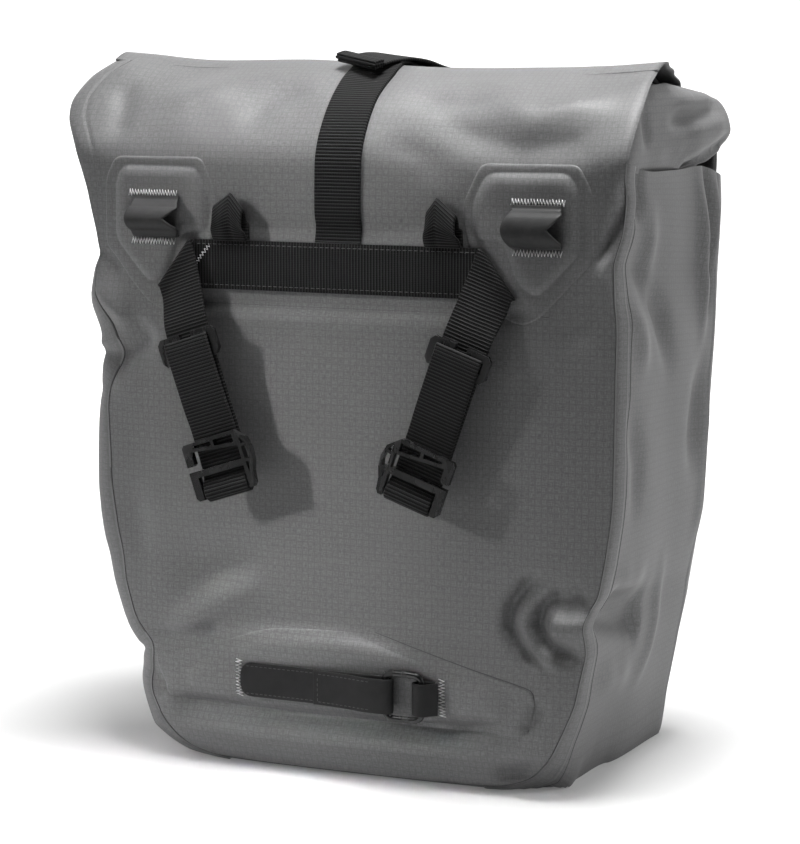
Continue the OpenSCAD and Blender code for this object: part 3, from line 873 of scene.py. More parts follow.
PATCH = rounded([(66.5, 296), (76, 316.5), (126, 316.5), (133, 304), (134, 270), (107, 241.5), (98, 237.5),
                 (88, 241), (80, 256), (70, 275.3), (67, 286)], 4)
PLATEAU = rounded([(72, 296), (79, 311), (121, 311.5), (126, 304), (127, 274), (106, 252), (96, 258),
                   (88, 279), (73, 279.5)], 5)


def patch_height(x, z, d):
    x = np.abs(x)
    inner = depth_in(PLATEAU, x, z)
    groove = 0.5 * np.exp(-((inner + 1.0) / 1.1) ** 2)
    raised = 0.5 * step(-0.05, 0.6, d) + 1.5 * step(-0.8, 3.6, inner)
    return raised - groove - 0.7 * step(4, 16, inner) - 0.05


for name, sign in (("left", -1), ("right", 1)):
    out = PATCH * [sign, 1]
    pl = PLATEAU * [sign, 1]
    patch = laid(f"{name}_corner_patch", out if sign > 0 else out[::-1], patch_height,
                 extra=[pl if sign > 0 else pl[::-1]])
    dress(patch, CLOTH_PATCH)
    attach(patch, "shell")
    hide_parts(f"{name}_patch")

LOWER = rounded([(-98, 34), (-104, 45), (-108, 55.6), (-88, 61.2), (-66, 67), (-48, 73.5), (-37, 76.5),
                 (-16, 77.8), (21, 79), (44.8, 72.3), (71.8, 65.1), (98, 58.2), (105, 55.5), (106, 50),
                 (102.4, 32.4), (60, 31), (0, 31), (-60, 31.5)], 5)
LOWER_IN = rounded([(-84, 40), (-88, 48), (-76, 57), (-52, 66), (-34, 71), (14, 74), (36, 68), (62, 61),
                    (86, 53), (92, 46), (89, 40)], 7)


def lower_height(x, z, d):
    inner = depth_in(LOWER_IN, x, z)
    right = step(0, 40, x)
    return (0.6 * step(-0.05, 0.6, d) + 1.9 * step(-1.5, 5, inner) - 1.3 * (0.35 + 0.65 * right)
            * np.exp(-((inner + 3.2) / 2.4) ** 2)
            - 0.08)


low_patch = laid("lower_reinforcement", LOWER, lower_height, pitch=3.0, extra=[LOWER_IN])
dress(low_patch, CLOTH_PATCH)
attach(low_patch, "shell")
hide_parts("lower_patch")


# ---------------------------------------------------------------- ears
def make_ear(name, sign):
    poly = rounded([(-75, 314), (-70, 332), (-57, 345), (-34, 353.6), (-12, 354.6), (12, 352), (43, 348.6),
                    (67, 344.6), (74, 340.5), (83, 329.5), (81, 323.5), (72, 318.5), (46, 312.5), (10, 309),
                    (-48, 310)], 2.6)

    def surface(y, z, h):
        x = 147.4 - 0.8 * step(-60, -40, y) + 5.0 * step(-40, 80, y) + h
        return np.stack([sign * x, y, z], -1)

    def height(y, z, d):
        b = 7.5 * (1 - np.exp(-d / 5.0)) * (0.35 + 0.65 * step(-66, 30, y))
        b = add_folds(b, y, z, [
            ([(-24, 335), (14, 337), (44, 340), (68, 342.5)], 4.6, -4.2, 0.8, 0.25),
            ([(-16, 346), (24, 345.5), (62, 345)], 4.0, 1.8, 1.0, 0.3),
            ([(-52, 344), (-49, 334), (-44, 322)], 5.0, -2.4, 1.0, 0.3),
            ([(0, 330), (30, 331), (66, 334)], 7, 2.0, 1.0, 0.3),
            ([(4, 309), (26, 313), (50, 319), (76, 324)], 3.6, -5.0, 1.0, 0.15),
            ([(30, 308), (52, 313), (74, 319)], 2.6, 2.4, 1.0, 0.2),
            ([(-30, 320), (0, 317), (24, 322)], 5, -1.8, 1.0, 0.4),
        ])
        return np.where(d <= 0.01, 0.0, b)

    obj = laid(name, poly, height, pitch=3.0, surface=surface, rings=(0.0, 0.5, 1.2, 2.4))
    if (sum(p.normal.x for p in obj.data.polygons) > 0) != (sign > 0):
        obj.data.flip_normals()
    bake(obj, ("SOLIDIFY", {"thickness": 0.0016, "offset": -1.0}),
         ("SUBSURF", {"levels": 1, "render_levels": 1}))
    dress(obj, CLOTH)
    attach(obj, "shell")
    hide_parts(f"{'left' if sign < 0 else 'right'}_ear")
    return obj


make_ear("left_ear_fold", -1)
make_ear("right_ear_fold", 1)


# ---------------------------------------------------------------- roll
def yz_strip(name, points, x0, x1, thick, count, columns=70, wave=None, ends=None, bend=None):
    """Cloth drawn out along X over a Y-Z path, with slight waves along its length."""
    p = curve(points, count)
    xs = np.linspace(x0, x1, columns + 1)
    t = tangents(p)
    n = np.stack([-t[:, 1], t[:, 0]], -1)
    s = lengths(p)
    P = np.zeros((count, columns + 1, 3))
    for i in range(count):
        w = wave(xs, s[i]) if wave is not None else np.zeros(len(xs))
        P[i, :, 0] = xs if ends is None else xs * (1 - ends(s[i]) / 150.0)
        P[i, :, 1] = p[i, 0] + n[i, 0] * w
        P[i, :, 2] = p[i, 1] + n[i, 1] * w
        if bend is not None:
            P[i, :, 2] = bend(P[i, :, 0], P[i, :, 1], P[i, :, 2])
    uv = np.stack(np.broadcast_arrays(xs[None, :] + 2000, s[:, None]), -1)
    obj = mesh(name, P.reshape(-1, 3), grid_faces(count, columns + 1), uv.reshape(-1, 2) * MM)
    if thick:
        bake(obj, ("SOLIDIFY", {"thickness": thick * MM, "offset": 0.0}))
    return obj


def roll_wave(x, s):
    return 0.5 * np.sin(x / 23 + s / 9) * np.sin(x / 41 + 1.0) * step(16, 26, s)


def roll_end(s):
    """How far short of the roll's ends the cloth stops at length s. The inner turns lie further in."""
    turns = 5.0 * float(step(14, 54, s)) + 9.0 * float(step(62, 96, s))
    return turns + 0.5 * math.sin(s / 3.1) * float(step(10, 20, s))


def settle(pts, rate=0.09):
    """A Y-Z path leaning down towards the mounting side."""
    return [(y, z - rate * max(20 - y, 0)) for y, z in pts]


def ridge_bend(x, y, z):
    return z + ridge_sag(x) * (1 - 0.6 * step(-15, 15, y)) - 2.4 * step(110, 148, x) * step(-22, 6, y)


ROLL_OUTER = [(-34.5, 361.0), (-29, 363.2), (-24, 364.55), (-18.5, 364.7), (-10, 363.4), (0, 361.8),
              (10, 359.4), (17.2, 356.8), (19.4, 354.4), (17.6, 352.2)]
ROLL_INNER = [(8, 354.4), (-10, 359.2), (-20, 361.2), (-23.6, 362.8), (-23.2, 365.2), (-18, 366.2),
              (-10, 364.6), (2, 361.4), (11, 358.0), (14.6, 355.9), (11, 354.9), (2, 358.0), (-10, 361.6),
              (-19, 363.6)]
roll = yz_strip("roll_cloth", ROLL_OUTER + settle(ROLL_INNER), -150.0, 150.8, 0.9, 170, 90, roll_wave,
                roll_end, ridge_bend)
dress(roll, CLOTH)
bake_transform(roll)
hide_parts("rolled_hem")


# ---------------------------------------------------------------- far collar
def collar_wave(x, s):
    e = 1 - (np.abs(x) / 150) ** 6
    return (1.5 * np.sin(x / 29 + s / 31) * step(0, 18, s) + 1.0 * np.sin(x / 17 - s / 13 + 1)
            * step(10, 40, s)) * e * 0.7


collar = yz_strip("far_collar_cloth", [(80.0, 302.6), (81.6, 310), (80.5, 322), (74.5, 334.6), (56, 341.6),
                                       (26, 346.6), (6, 349.4)],
                  -146.5, 147.5, 0.95, 60, 90, collar_wave)
dress(collar, CLOTH)
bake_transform(collar)
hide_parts("front_collar")


# ---------------------------------------------------------------- webbing on the panel
def face_strip(name, x0s, x1s, ss, lift, thick, cols=14, uvrun="s"):
    """Webbing lying on the panel, from length ss[0] to ss[-1] up it."""
    n = len(ss)
    e = 0.7
    prof = [(0, 0.0, 0.15), (0, 0.25 * e, 0.7), (0, e, 1.0)]
    prof += [(k / cols, e * (1 - 2 * k / cols), 1.0) for k in range(1, cols)]
    prof += [(1, -e, 1.0), (1, -0.25 * e, 0.7), (1, 0.0, 0.15)]
    prof += [(q[0], q[1], -0.15 if q[2] < 1 else -0.2) for q in prof[::-1]]
    verts, uv = [], []
    for i in range(n):
        xs = np.array([x0s[i] + (x1s[i] - x0s[i]) * f + o for f, o, _ in prof])
        hs = np.array([lift + thick * k for _, _, k in prof])
        verts += face(xs, np.full(len(xs), ss[i]), hs).tolist()
        uv += [[(a - x0s[0]) * MM, ss[i] * MM] if uvrun == "s" else [(ss[i] - ss[0]) * MM, a * MM]
               for a in xs]
    m = len(prof)
    faces = grid_faces(n, m, True)
    faces += [list(range(m)), [(n - 1) * m + k for k in range(m)][::-1]]
    return mesh(name, verts, faces, uv)


band_s = np.concatenate([[BAND_Z, BAND_Z + 0.25], np.linspace(BAND_Z + 0.8, BAND_TOP - 0.8, 22),
                         [BAND_TOP - 0.25, BAND_TOP]])
down = (BAND_TOP - band_s) / WEB_W
band = face_strip("harness_band", -80 - 19 * down, 77 + 17.5 * down, band_s, 0.15, 2.0, cols=120, uvrun="x")
dress(band, WEB_FINE)
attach(band, "shell")
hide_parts("webbing_band")

# closure strap up the panel and over the flap
cs = np.linspace(BAND_TOP + 0.3, FLAP_END - 1.0, 90)
n = len(cs)
closure = face_strip("closure_strap_run", np.full(n, -WEB_W / 2), np.full(n, WEB_W / 2), cs, 0.12, WEB_T)
dress(closure, WEB)
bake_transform(closure)
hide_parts("closure_strap_lower", "closure_strap_flap")


def profile_ribbon(name, pts, count):
    """Webbing in the middle of the bag, over a Y-Z path."""
    p = curve(pts, count)
    return ribbon(name, np.stack([np.zeros(count), p[:, 0], p[:, 1]], -1), (1, 0, 0), WEB_W, WEB_T)


tip = face(np.array([0.0]), np.array([FLAP_END - 1.8]), 0.9)[0]
OVER = [(tip[1], tip[2]), (-22.5, 363.9), (-17, 363.8), (-10, 362.9), (0, 361.6), (10.3, 360.2),
        (18.0, 358.2)]
top = profile_ribbon("closure_strap_over", OVER, 40)
dress(top, WEB)
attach(top, "roll")
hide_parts("closure_strap_top")

DOWN = [(19.4, 358.9), (34, 354.2), (50, 350.2), (75, 343.4), (81.8, 338.0), (84.6, 324), (84.2, 300),
        (83.6, 274), (83.4, 266.5), (84.6, 263.4), (86.6, 262.5), (88.8, 263.7), (89.8, 266.8), (88.4, 273),
        (85.9, 284)]
far = profile_ribbon("closure_strap_down", DOWN, 150)
dress(far, WEB)
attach(far, "closure_strap")
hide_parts("closure_strap_far")

ANCHOR = [(86.6, 262), (86.4, 255), (88.2, 250.5), (88.3, 239), (86.3, 235), (86.2, 210), (85.6, 180),
          (84.6, 150)]
anchor = profile_ribbon("front_anchor_strap", ANCHOR, 90)
dress(anchor, WEB)
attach(anchor, "shell")
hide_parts("front_anchor")

# tail of the closure strap, lying over the ridge
lean = math.radians(-22)


def tail_at(w, y, z):
    """From the tail's own frame (across, along, up) to the bag's frame."""
    return np.stack(np.broadcast_arrays(15 - math.sin(lean) * y + math.cos(lean) * w,
                                        14 + math.cos(lean) * y + math.sin(lean) * w, z), -1)


tail_pts = curve([(0.5, 359.6), (-8, 361.8), (-18, 364.8), (-30, 366.8), (-42, 366.6), (-50, 365.2),
                  (-56, 364.0)], 60)
turn = np.radians(np.interp(tail_pts[:, 0], [-56, -40, -20, 0], [9, 8, 3, 0]))
tw = np.stack([math.cos(lean) * np.cos(turn), math.sin(lean) * np.cos(turn), -np.sin(turn)], -1)
tail = ribbon("closure_strap_tail", tail_at(0, tail_pts[:, 0], tail_pts[:, 1]), tw, WEB_W, WEB_T)
hem = []
for k, (h, w, a, b) in enumerate(((1.5, 14.4, -60.4, -52.4), (2.9, 14.2, -59.8, -53.2),
                                  (0.0, 13.8, -59.4, -53.6))):
    yy = curve([(a, 363.0 + h), (a + 2, 363.6 + h), (b - 2, 364.2 + h), (b, 364.2 + h)], 14)
    hem.append(ribbon(f"tail_hem_{k}", tail_at(0, yy[:, 0], yy[:, 1]), tw[-1], 2 * w, 1.5))
tail = join("closure_strap_tail", [tail] + hem)
dress(tail, WEB)
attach(tail, "tail")
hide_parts("strap_tail")


# thin pressed lines, drawn as darker cords: the seam round the panel, the weld inside the flap's left edge,
# the crease under the band, the edge of the side strip's weld and the edge of the lower patch; their darkness
# is partly the seams' own line, partly painted shade in the grooves
def pressed(name, lines, body, radius=0.24):
    obj = tube_mesh(name, lines, radius)
    dress(obj, SEAM_LINE_AND_GROOVE_SHADE)
    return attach(obj, body)


keep = seam_line[4:-4] + np.array([0, -0.12, 0])
keep = keep[(keep[:, 0] > 0) | (keep[:, 2] < 246)]
pressed("panel_seam_line", [keep], "shell")
vv = np.linspace(322, FLAP_END - 3, 40)
pressed("flap_weld_lines", [face(soft_edge(LEFT_FLAP, vv) + 11, vv, 0.05)], "flap", 0.18)
line_x = np.linspace(-86, 112, 160)
pressed("panel_lines", [face(line_x, 242.5 + 0 * line_x, 0.02)], "shell", 0.15)
strip_line = shell_rows[9][10:-10]
pressed("weld_strip_line", [strip_line], "shell", 0.20)
low_line = curve([(20, 79), (44.8, 72.3), (71.8, 65.1), (98, 58.3), (104.6, 55.6), (105.6, 50),
                  (103.4, 44.7), (102.2, 34)], 120)
pressed("lower_patch_line", [face(low_line[:, 0], low_line[:, 1], 0.15)], "shell", 0.26)


# small webbing loops above the band
def hook_loop(name, sign):
    p = curve([(-81.6, 275.4), (-81.8, 283), (-82.3, 289), (-83.2, 295.4), (-85.4, 298.6), (-87.6, 297.2),
               (-88.6, 291), (-88.4, 284), (-86.2, 278.2), (-84.2, 275.3)], 64)
    s = lengths(p)
    f = s / s[-1]
    up = step(0.12, 0.40, f) * (1 - step(0.62, 0.96, f))
    t = tangents(p)
    nrm = np.stack([-t[:, 1], t[:, 0]], -1)
    cols, h = 16, WEB_T / 2
    prof = [(-1, 0.0)] + [(-1 + 2 * (k + 0.12) / (cols + 0.24), 1.0) for k in range(cols + 1)] + [(1, 0.0)]
    prof += [(q[0], -q[1]) for q in prof[-2:0:-1]]
    peak = 0.15 if sign < 0 else -0.35
    verts, uv = [], []
    for i in range(len(p)):
        for a, n in prof:
            drop = up[i] * (6.5 * max(peak - a, 0) / (1 + peak) + 8.5 * max(a - peak, 0) / (1 - peak))
            bow = 0.9 * math.exp(-((a - peak + 0.35) / 0.35) ** 2) - 0.9 * math.exp(-((a - peak) / 0.16) ** 2)
            wide = 9.4 - 1.6 * up[i]
            yy = p[i, 0] + nrm[i, 0] * n * h - (bow * step(0.5, 0.7, f[i])) - 0.5 * up[i] * a * sign
            verts.append([sign * 58.0 + a * wide, yy, p[i, 1] + nrm[i, 1] * n * h - drop])
            uv.append([(a + 1) * 0.0095, s[i] * MM])
    obj = mesh(name, verts, capped(len(p), len(prof)), uv)
    dress(obj, WEB)
    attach(obj, "shell")
    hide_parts(name.replace("small", "hook"))


hook_loop("left_small_loop", -1)
hook_loop("right_small_loop", 1)


# ---------------------------------------------------------------- hanging straps with their hooks
def strap_to_world(sign, w, y, z):
    """From a hanging strap's own frame (across, out of the panel, up along the strap) to the bag's frame."""
    x0, tilt = HUNG[sign]
    x = x0 + math.cos(tilt) * w + math.sin(tilt) * z
    zz = STRAP_Z - math.sin(tilt) * w + math.cos(tilt) * z
    return np.stack(np.broadcast_arrays(sign * x, y, zz), -1)


def hanging_strap(side, sign):
    # line of the fold across the strap, as height along the strap at each side
    def fold_z(w):
        return 0.4 - 0.71 * w

    line = curve([(-84.3, 0.0), (-84.6, -8), (-88.4, -20), (-92.2, -33), (-93.0, -60), (-92.6, -108),
                  (-93.6, -113.8), (-95.2, -118.8), (-98, -120.8), (-100.8, -119.2), (-101.6, -116.4),
                  (-100.2, -112.6), (-97.6, -109), (-96.4, -104), (-96.2, -84), (-97.2, -74), (-97.7, -58),
                  (-98.0, -44), (-97.6, -38.4)], 230)
    s = lengths(line)
    cols = 16
    h, e = WEB_T / 2, 0.7
    prof = [(-1, 0, 0.0), (-1, 0.1 * e, 0.5 * h), (-1, 0.5 * e, 0.87 * h)]
    prof += [(-1 + 2 * k / cols, e * (1 - 2 * k / cols), h) for k in range(cols + 1)]
    prof += [(1, -0.5 * e, 0.87 * h), (1, -0.1 * e, 0.5 * h), (1, 0, 0.0)]
    prof += [(q[0], q[1], -q[2]) for q in prof[-2:0:-1]]
    ws = np.array([q[0] * WEB_W / 2 + q[1] for q in prof])
    hs = np.array([q[2] for q in prof])
    t = tangents(line)
    nrm = np.stack([t[:, 1], -t[:, 0]], -1)
    verts, uv = [], []
    # rounded edge of the fold, turning from the band up and over
    turn = np.linspace(math.pi * 0.98, 0, 8, endpoint=False)
    diag = np.array([1.0, 0.71]) / math.hypot(1.0, 0.71)
    for a in turn:
        r_mid = 1.25
        for w, hh in zip(ws, hs):
            r = r_mid + hh
            dz = fold_z(w)
            out = math.sin(a) * r
            yy = -84.3 + r_mid - math.cos(a) * r
            verts.append(strap_to_world(sign, w + diag[0] * out * 0.9, yy, dz + diag[1] * out * 0.9))
            uv.append([(w + WEB_W / 2) * MM, (-dz - a * 1.5) * MM])
    for i in range(len(line)):
        shear = 1 - step(0, 34, s[i])
        y = line[i, 0] + nrm[i, 0] * hs
        z = line[i, 1] + nrm[i, 1] * hs + fold_z(ws) * shear
        # small creases where the strap leaves its fold
        if s[i] < 60:
            y = y - 0.7 * np.exp(-((ws - 3 + s[i] * 0.16) / 5) ** 2) * np.exp(-((s[i] - 20) / 14) ** 2)
        verts += strap_to_world(sign, ws, y, z).tolist()
        uv += [[(w + WEB_W / 2) * MM, (s[i] - fold_z(w) * shear) * MM] for w in ws]
    faces = capped(len(line) + len(turn), len(prof))
    if sign < 0:
        faces = [f[::-1] for f in faces]
    obj = mesh(f"{side}_hanging_strap", verts, faces, uv)
    dress(obj, WEB)
    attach(obj, f"{side}_strap")
    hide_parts(f"{side}_strap")


hanging_strap("left", -1)
hanging_strap("right", 1)

for node_name in ("left_slider", "right_slider", "left_hook", "right_hook", "closure_hook"):
    o = nodes[node_name]
    o.data.materials.clear()
    o.data.materials.append(PLASTIC)
    dec = o.modifiers.new("tidy", "DECIMATE")
    dec.decimate_type = "DISSOLVE"
    dec.angle_limit = math.radians(3)
    bev = o.modifiers.new("round", "BEVEL")
    bev.width = 0.0007
    bev.segments = 3
    bev.limit_method = "ANGLE"
    bev.angle_limit = math.radians(40)
    bev.use_clamp_overlap = False

# the stiffener strip inside the roll and the sheet behind the mounting panel
hem_strip = yz_strip("hem_stiffener_strip", settle([(8, 357.3), (2, 359.7), (-10, 363.1), (-17, 364.8)]),
                     -134.0, 134.0, 1.0, 16, 60,
                     bend=ridge_bend)
dress(hem_strip, SHEET)
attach(hem_strip, "roll")
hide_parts("hem_stiffener")

STIFF = rounded([(-98, 31), (98, 31), (112, 100), (125, 200), (129, 286), (120, 298), (-120, 298),
                 (-129, 286), (-125, 200), (-112, 100)], 10)


def stiff_face(x, s, h):
    """The stiffener is flat, 10.5 mm behind the panel, whatever height h it is given."""
    return np.stack([x, np.full(np.shape(x), FY + 10.5), s], -1)


stiff = laid("stiffener_sheet", STIFF, lambda x, z, d: 0 * x, pitch=9.0, surface=stiff_face)
bake(stiff, ("SOLIDIFY", {"thickness": 0.0014, "offset": -1.0}))
dress(stiff, SHEET)
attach(stiff, "shell")
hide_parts("back_stiffener")


# ---------------------------------------------------------------- rubberised loops on the corner patches
def patch_loop(side, sign):
    p = curve([(-81.8, 296.5), (-82.6, 294.6), (-84.2, 293.4), (-86.6, 292.9), (-89.4, 290.6),
               (-91.0, 285.6), (-90.2, 281.0), (-87.2, 277.4), (-84.6, 276.4), (-82.8, 276.2),
               (-81.6, 276.4)], 90)
    s = lengths(p)
    z = p[:, 1]
    arch = step(-83.4, -87.6, p[:, 0])
    notch = 6.4 * arch * np.clip(1 - np.abs(z - 285.4) / 6.6, 0, 1)
    bulge = 3.0 * arch * np.clip(1 - ((z - 285) / 8) ** 2, 0, 1)
    if sign < 0:
        p[:, 1] = np.where(p[:, 0] < -82.5, 285.6 + (p[:, 1] - 285.6) * (1 - 0.26 * arch), p[:, 1])
        bulge = bulge * 0.5
    left, right = -13.2 - bulge, 12.4 + 1.6 * arch - notch
    c = np.stack([np.full(len(p), 106.5 if sign > 0 else -100.6), p[:, 0], p[:, 1]], -1)
    obj = ribbon(f"{side}_rubber_loop", c, (1, 0, 0), 27, 1.3, left, right, 18)
    dress(obj, RUBBER)
    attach(obj, "shell")
    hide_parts(f"{side}_patch_loop")


patch_loop("left", -1)
patch_loop("right", 1)


# ---------------------------------------------------------------- lower strap, ring loop and oval ring
def xy_ribbon(name, pts, z0, z1, thick, count, trim=None):
    p = curve(pts, count) + [LOW_X, 0]
    s = lengths(p)
    c = np.stack([p[:, 0], p[:, 1], np.full(count, (z0 + z1) / 2)], -1)
    lo, hi = np.full(count, (z0 - z1) / 2), np.full(count, (z1 - z0) / 2)
    if trim is not None:
        lo, hi = trim(p, s, lo, hi)
    return ribbon(name, c, (0, 0, 1), z1 - z0, thick, lo, hi, 12)


def round_end(p, s, lo, hi):
    r = 6.0
    k = np.sqrt(np.clip(1 - np.clip(1 - s / r, 0, 1) ** 2, 0, 1))
    return lo + r * (1 - k), hi - r * (1 - k)


LIFT = -82.6
LOW_PATH = [(-57.5, LIFT - 2.0), (-45, LIFT - 2.3), (-25, LIFT - 2.6), (-12, LIFT - 3.0), (2, -85.2),
            (12, -85.0), (20, -84.9), (26.4, -85.4), (29.2, -88.4), (27.4, -91.2), (22, -92.0), (14, -91.4),
            (6, -89.6), (-4, -87.9), (-12, -87.0), (-15, -86.9)]
strap_a = xy_ribbon("lower_handle_strap", LOW_PATH, LOW_Z - LOW_W / 2, LOW_Z + LOW_W / 2, 1.4, 190,
                    round_end)
# darker rubber here and on the ring loop below, partly painted shade of the recess
dress(strap_a, RUBBER_DARK_SHADED)
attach(strap_a, "shell")
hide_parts("lower_strap")
RING_PATH = [(50.8, -84.2), (47.4, -84.6), (43.2, -85.0), (40.6, -88.2), (43.2, -91.8), (47.2, -92.0),
             (50.6, -88.6), (53.0, -86.4)]
loop_b = xy_ribbon("ring_end_loop", RING_PATH, LOW_Z - LOW_W / 2 + 0.6, LOW_Z + LOW_W / 2 - 0.6, 1.3, 80)
dress(loop_b, RUBBER_DARK_SHADED)
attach(loop_b, "shell")
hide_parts("ring_loop")

RING_STEPS, RING_SIDES = 72, 12
ring_pts = []
for k in range(RING_STEPS):
    a = 2 * math.pi * k / RING_STEPS
    ca, sa = math.cos(a), math.sin(a)
    m = (abs(ca) ** 5 + abs(sa) ** 5) ** (-1 / 5)
    ring_pts.append((RING_X + 10.4 * m * ca, FY - 7.9, LOW_Z + 11.7 * m * sa))
ring_pts = np.array(ring_pts)
OUT = np.array([0, -1, 0])
rv, ruv = [], []
for k in range(RING_STEPS):
    tdir = ring_pts[(k + 1) % RING_STEPS] - ring_pts[k - 1]
    tdir /= np.linalg.norm(tdir)
    o1 = np.cross(tdir, OUT)
    for j in range(RING_SIDES):
        b = 2 * math.pi * j / RING_SIDES
        rv.append(ring_pts[k] + 1.75 * math.cos(b) * o1 + 1.6 * math.sin(b) * OUT)
        ruv.append([j / RING_SIDES * 0.01, k / RING_STEPS * 0.08])
ring_faces = grid_faces(RING_STEPS, RING_SIDES, True)
last = (RING_STEPS - 1) * RING_SIDES
ring_faces += [[last + j, last + (j + 1) % RING_SIDES, (j + 1) % RING_SIDES, j] for j in range(RING_SIDES)]
oval = mesh("oval_ring", rv, ring_faces, ruv)
dress(oval, PLASTIC)
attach(oval, "ring")
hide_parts("lower_ring")


# ---------------------------------------------------------------- stitching
def zigzag(points, normal_fn, amp, pitch, jitter=0.25, seed=1):
    rng = np.random.RandomState(seed)
    a, b = np.array(points[0], float), np.array(points[1], float)
    n = int(np.linalg.norm(b - a) / pitch)
    d = (b - a) / np.linalg.norm(b - a)
    o = np.array([-d[1], d[0]])
    out = []
    for k in range(n + 1):
        swing = (1 if k % 2 else -1) * (1 + jitter * (rng.rand() - 0.5))
        slip = rng.rand() - 0.5
        out.append(a + (b - a) * k / n + o * amp * swing + d * slip * jitter * pitch)
    return normal_fn(np.array(out))


def on_corner(q):
    """Thread laid over a corner patch."""
    x, s = q.T
    d = np.maximum(depth_in(PATCH, np.abs(x), s), 0)
    return face(x, s, patch_height(x, s, d) + 0.45)


tacks = []
for sgn in (-1, 1):
    for zc, sd in ((298.0, 3), (273.4, 4)):
        for k in range(2):
            off = 0 if sgn > 0 else 3.0
            reach = 14.0 if zc > 290 else 12.6
            tacks.append(zigzag(((sgn * 106.4 + off - reach, zc), (sgn * 106.4 + off + reach, zc)),
                                on_corner, 1.35, 0.8, 0.5,
                                sd + k + (sgn > 0) * 10))
upper = tube_mesh("corner_tack_threads", tacks, 0.34)
dress(upper, THREAD_WHITE)
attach(upper, "shell")
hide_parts("upper_bar_tacks")


def on_lower(q):
    """Thread laid over the lower patch."""
    x, s = q.T
    d = np.maximum(depth_in(LOWER, x, s), 0)
    return face(x, s, lower_height(x, s, d) + 0.45)


tacks = []
for xc, sd in ((LOW_X - 59.4, 31), (LOW_X + 54.2, 41)):
    for k in range(2):
        tacks.append(zigzag(((xc, LOW_Z - 10), (xc + 0.2, LOW_Z + 10)), on_lower, 1.5, 0.85, 0.5, sd + k))
lower = tube_mesh("lower_tack_threads", tacks, 0.34)
dress(lower, THREAD_WHITE)
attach(lower, "shell")
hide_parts("lower_bar_tacks")


def stitches(name, lines, pitch, length, radius, body):
    """Rows of short stitches along polylines."""
    segs = []
    for p in lines:
        p = np.array(p, float)
        s = lengths(p)
        k = 0.0
        while k + length < s[-1]:
            t = np.linspace(k, k + length, 4)
            segs.append(np.stack([np.interp(t, s, p[:, a]) for a in range(3)], -1))
            k += pitch
    obj = tube_mesh(name, segs, radius)
    dress(obj, THREAD_BLACK)
    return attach(obj, body)


xx = np.linspace(-78, 78, 120)
slant = zigzag(((-79.6, 261.5), (-70.6, 272.6)), lambda q: face(q[:, 0], q[:, 1], 2.75), 0.8, 0.9, 0.4, 51)
dress(tube_mesh("band_corner_stitch", [slant], 0.26), THREAD_WHITE)
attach(bpy.data.objects["band_corner_stitch"], "shell")
band_rows = [face(xx, np.full(120, BAND_TOP - 2.2), 2.3), face(xx * 1.18, np.full(120, BAND_Z + 2.2), 2.3)]
stitches("band_stitches", band_rows, 3.0, 2.1, 0.22, "shell")
rows_low = []
for dz in (-7.2, 7.2):
    for x0, x1, count, run in ((-54, -14, 60, LOW_PATH[:4]), (-12, 19, 40, LOW_PATH[:9:-1])):
        x = np.linspace(x0, x1, count)
        y = np.interp(x, *np.transpose(run)) - 0.78
        rows_low.append(np.stack([x + LOW_X, y, np.full(count, LOW_Z + dz)], -1))
rows_low.append(np.stack([np.full(20, LOW_X - 12.5), np.full(20, -87.8),
                          np.linspace(LOW_Z - 7, LOW_Z + 7, 20)], -1))
stitches("lower_strap_stitches", rows_low, 2.6, 1.8, 0.2, "shell")


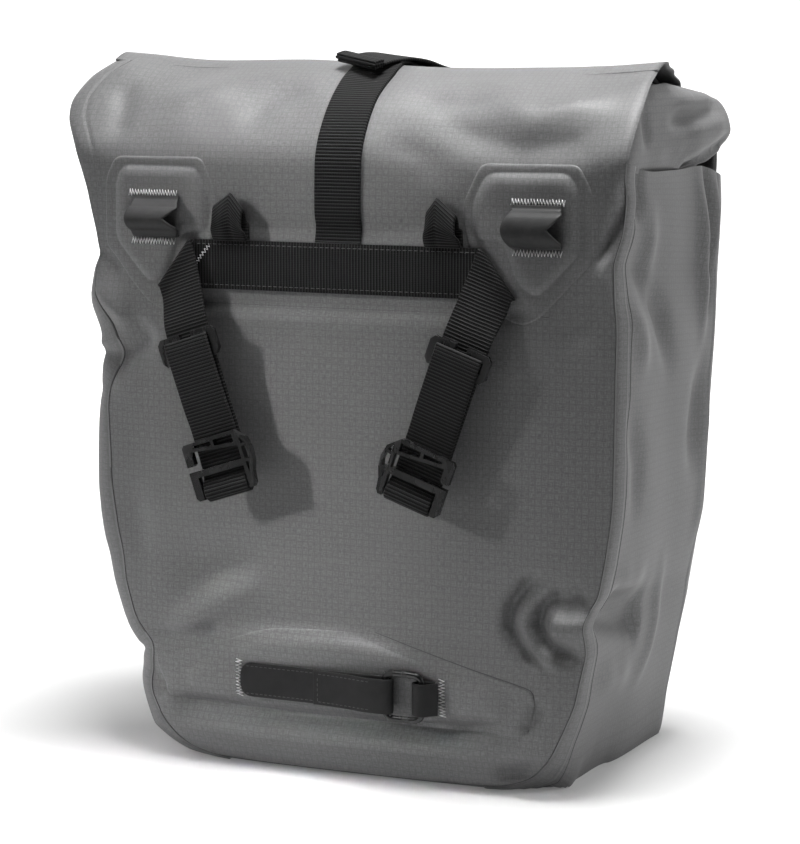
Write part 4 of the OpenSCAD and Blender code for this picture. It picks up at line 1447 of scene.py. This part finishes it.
# ---------------------------------------------------------------- floor, light, camera
def floor():
    k = Nodes("floor_paint")
    x, y, z = k.pos()
    cloud = k.noise(k.vec(x, y, z), 3.0, 3.0, 0.5)
    behind = k.m("SUBTRACT", k.mul(y, 0.92), k.mul(x, 0.39))
    # painted light: the floor and backdrop glow, weakly in front and strongly behind the bag, so they read
    # white and light the bag from behind
    glow = k.band(behind, 0.2, 1.5, 0.12, 0.95)
    away = k.m("SQRT", k.add(k.mul(x, x), k.mul(y, y)))
    dim = k.mul(k.band(away, 0.38, 0.85), k.band(behind, -0.15, 0.35, 1.0, 0.0))
    pale = k.mix(cloud, (0.57, 0.57, 0.57, 1), (0.60, 0.60, 0.60, 1))
    k.set(Base_Color=k.mix(dim, pale, (0.12, 0.12, 0.12, 1)), Roughness=0.85,
          Emission_Color=(1, 1, 1, 1), Emission_Strength=glow)
    ys = np.concatenate([np.linspace(-5000, 2200, 12), 2200 + 1400
                         * np.sin(np.linspace(0, math.pi / 2, 14)[1:]), [3600, 3600]])
    zs = np.concatenate([np.zeros(12), 1400 * (1 - np.cos(np.linspace(0, math.pi / 2, 14)[1:])),
                         [3000, 6000]])
    xs = np.linspace(-7000, 7000, 8)
    P = np.stack(np.broadcast_arrays(xs[None, :], ys[:, None], zs[:, None]), -1)
    ca, sa = math.cos(math.radians(22)), math.sin(math.radians(22))
    R = np.stack([P[..., 0] * ca - P[..., 1] * sa, P[..., 0] * sa + P[..., 1] * ca, P[..., 2]], -1)
    obj = mesh("studio_floor", R.reshape(-1, 3), grid_faces(len(ys), 8))
    obj.data.materials.append(k.mat)


floor()


def light(name, loc, target, size, energy, size_y=None, spread=180):
    data = bpy.data.lights.new(name, "AREA")
    data.spread = math.radians(spread)
    data.shape = "RECTANGLE"
    data.size = size
    data.size_y = size_y or size
    data.energy = energy
    o = bpy.data.objects.new(name, data)
    o.location = loc
    o.rotation_euler = (Vector(target) - Vector(loc)).to_track_quat("-Z", "Y").to_euler()
    bpy.context.scene.collection.objects.link(o)
    return o


light("key", (-0.88, -0.78, 0.66), (-0.030, -0.08, 0.19), 0.13, 0.27, 0.56, 6.5).visible_glossy = False
light("key_wide", (-0.80, -0.72, 0.90), (0, 0, 0.2), 0.22, 1.9, 0.3)
light("top", (0.12, -0.12, 1.8), (0, 0.02, 0.3), 0.6, 60)
light("side", (1.5, 0.15, 0.8), (0, 0, 0.2), 0.8, 10)
light("glint", (-0.30, -0.75, 1.25), (0, -0.08, 0.2), 0.5, 7, 0.25).visible_diffuse = False

world = bpy.data.worlds.new("studio")
world.use_nodes = True
world.node_tree.nodes["Background"].inputs[0].default_value = (1, 1, 1, 1)
world.node_tree.nodes["Background"].inputs[1].default_value = 0.02
bpy.context.scene.world = world
bpy.context.scene.view_settings.view_transform = "Standard"

az, el, dist = math.radians(23), math.radians(8.3), 1.404
target = Vector((-0.0005, 0, 0.1742))
cam = bpy.data.cameras.new("camera")
cam.lens = 112.6
cam.sensor_width = 36
cam.sensor_fit = "AUTO"
cam_obj = bpy.data.objects.new("camera", cam)
cam_obj.location = target + dist * Vector((math.sin(az) * math.cos(el), -math.cos(az) * math.cos(el),
                                           math.sin(el)))
cam_obj.rotation_euler = (target - cam_obj.location).to_track_quat("-Z", "Y").to_euler()
bpy.context.scene.collection.objects.link(cam_obj)
bpy.context.scene.camera = cam_obj

bpy.context.view_layer.update()
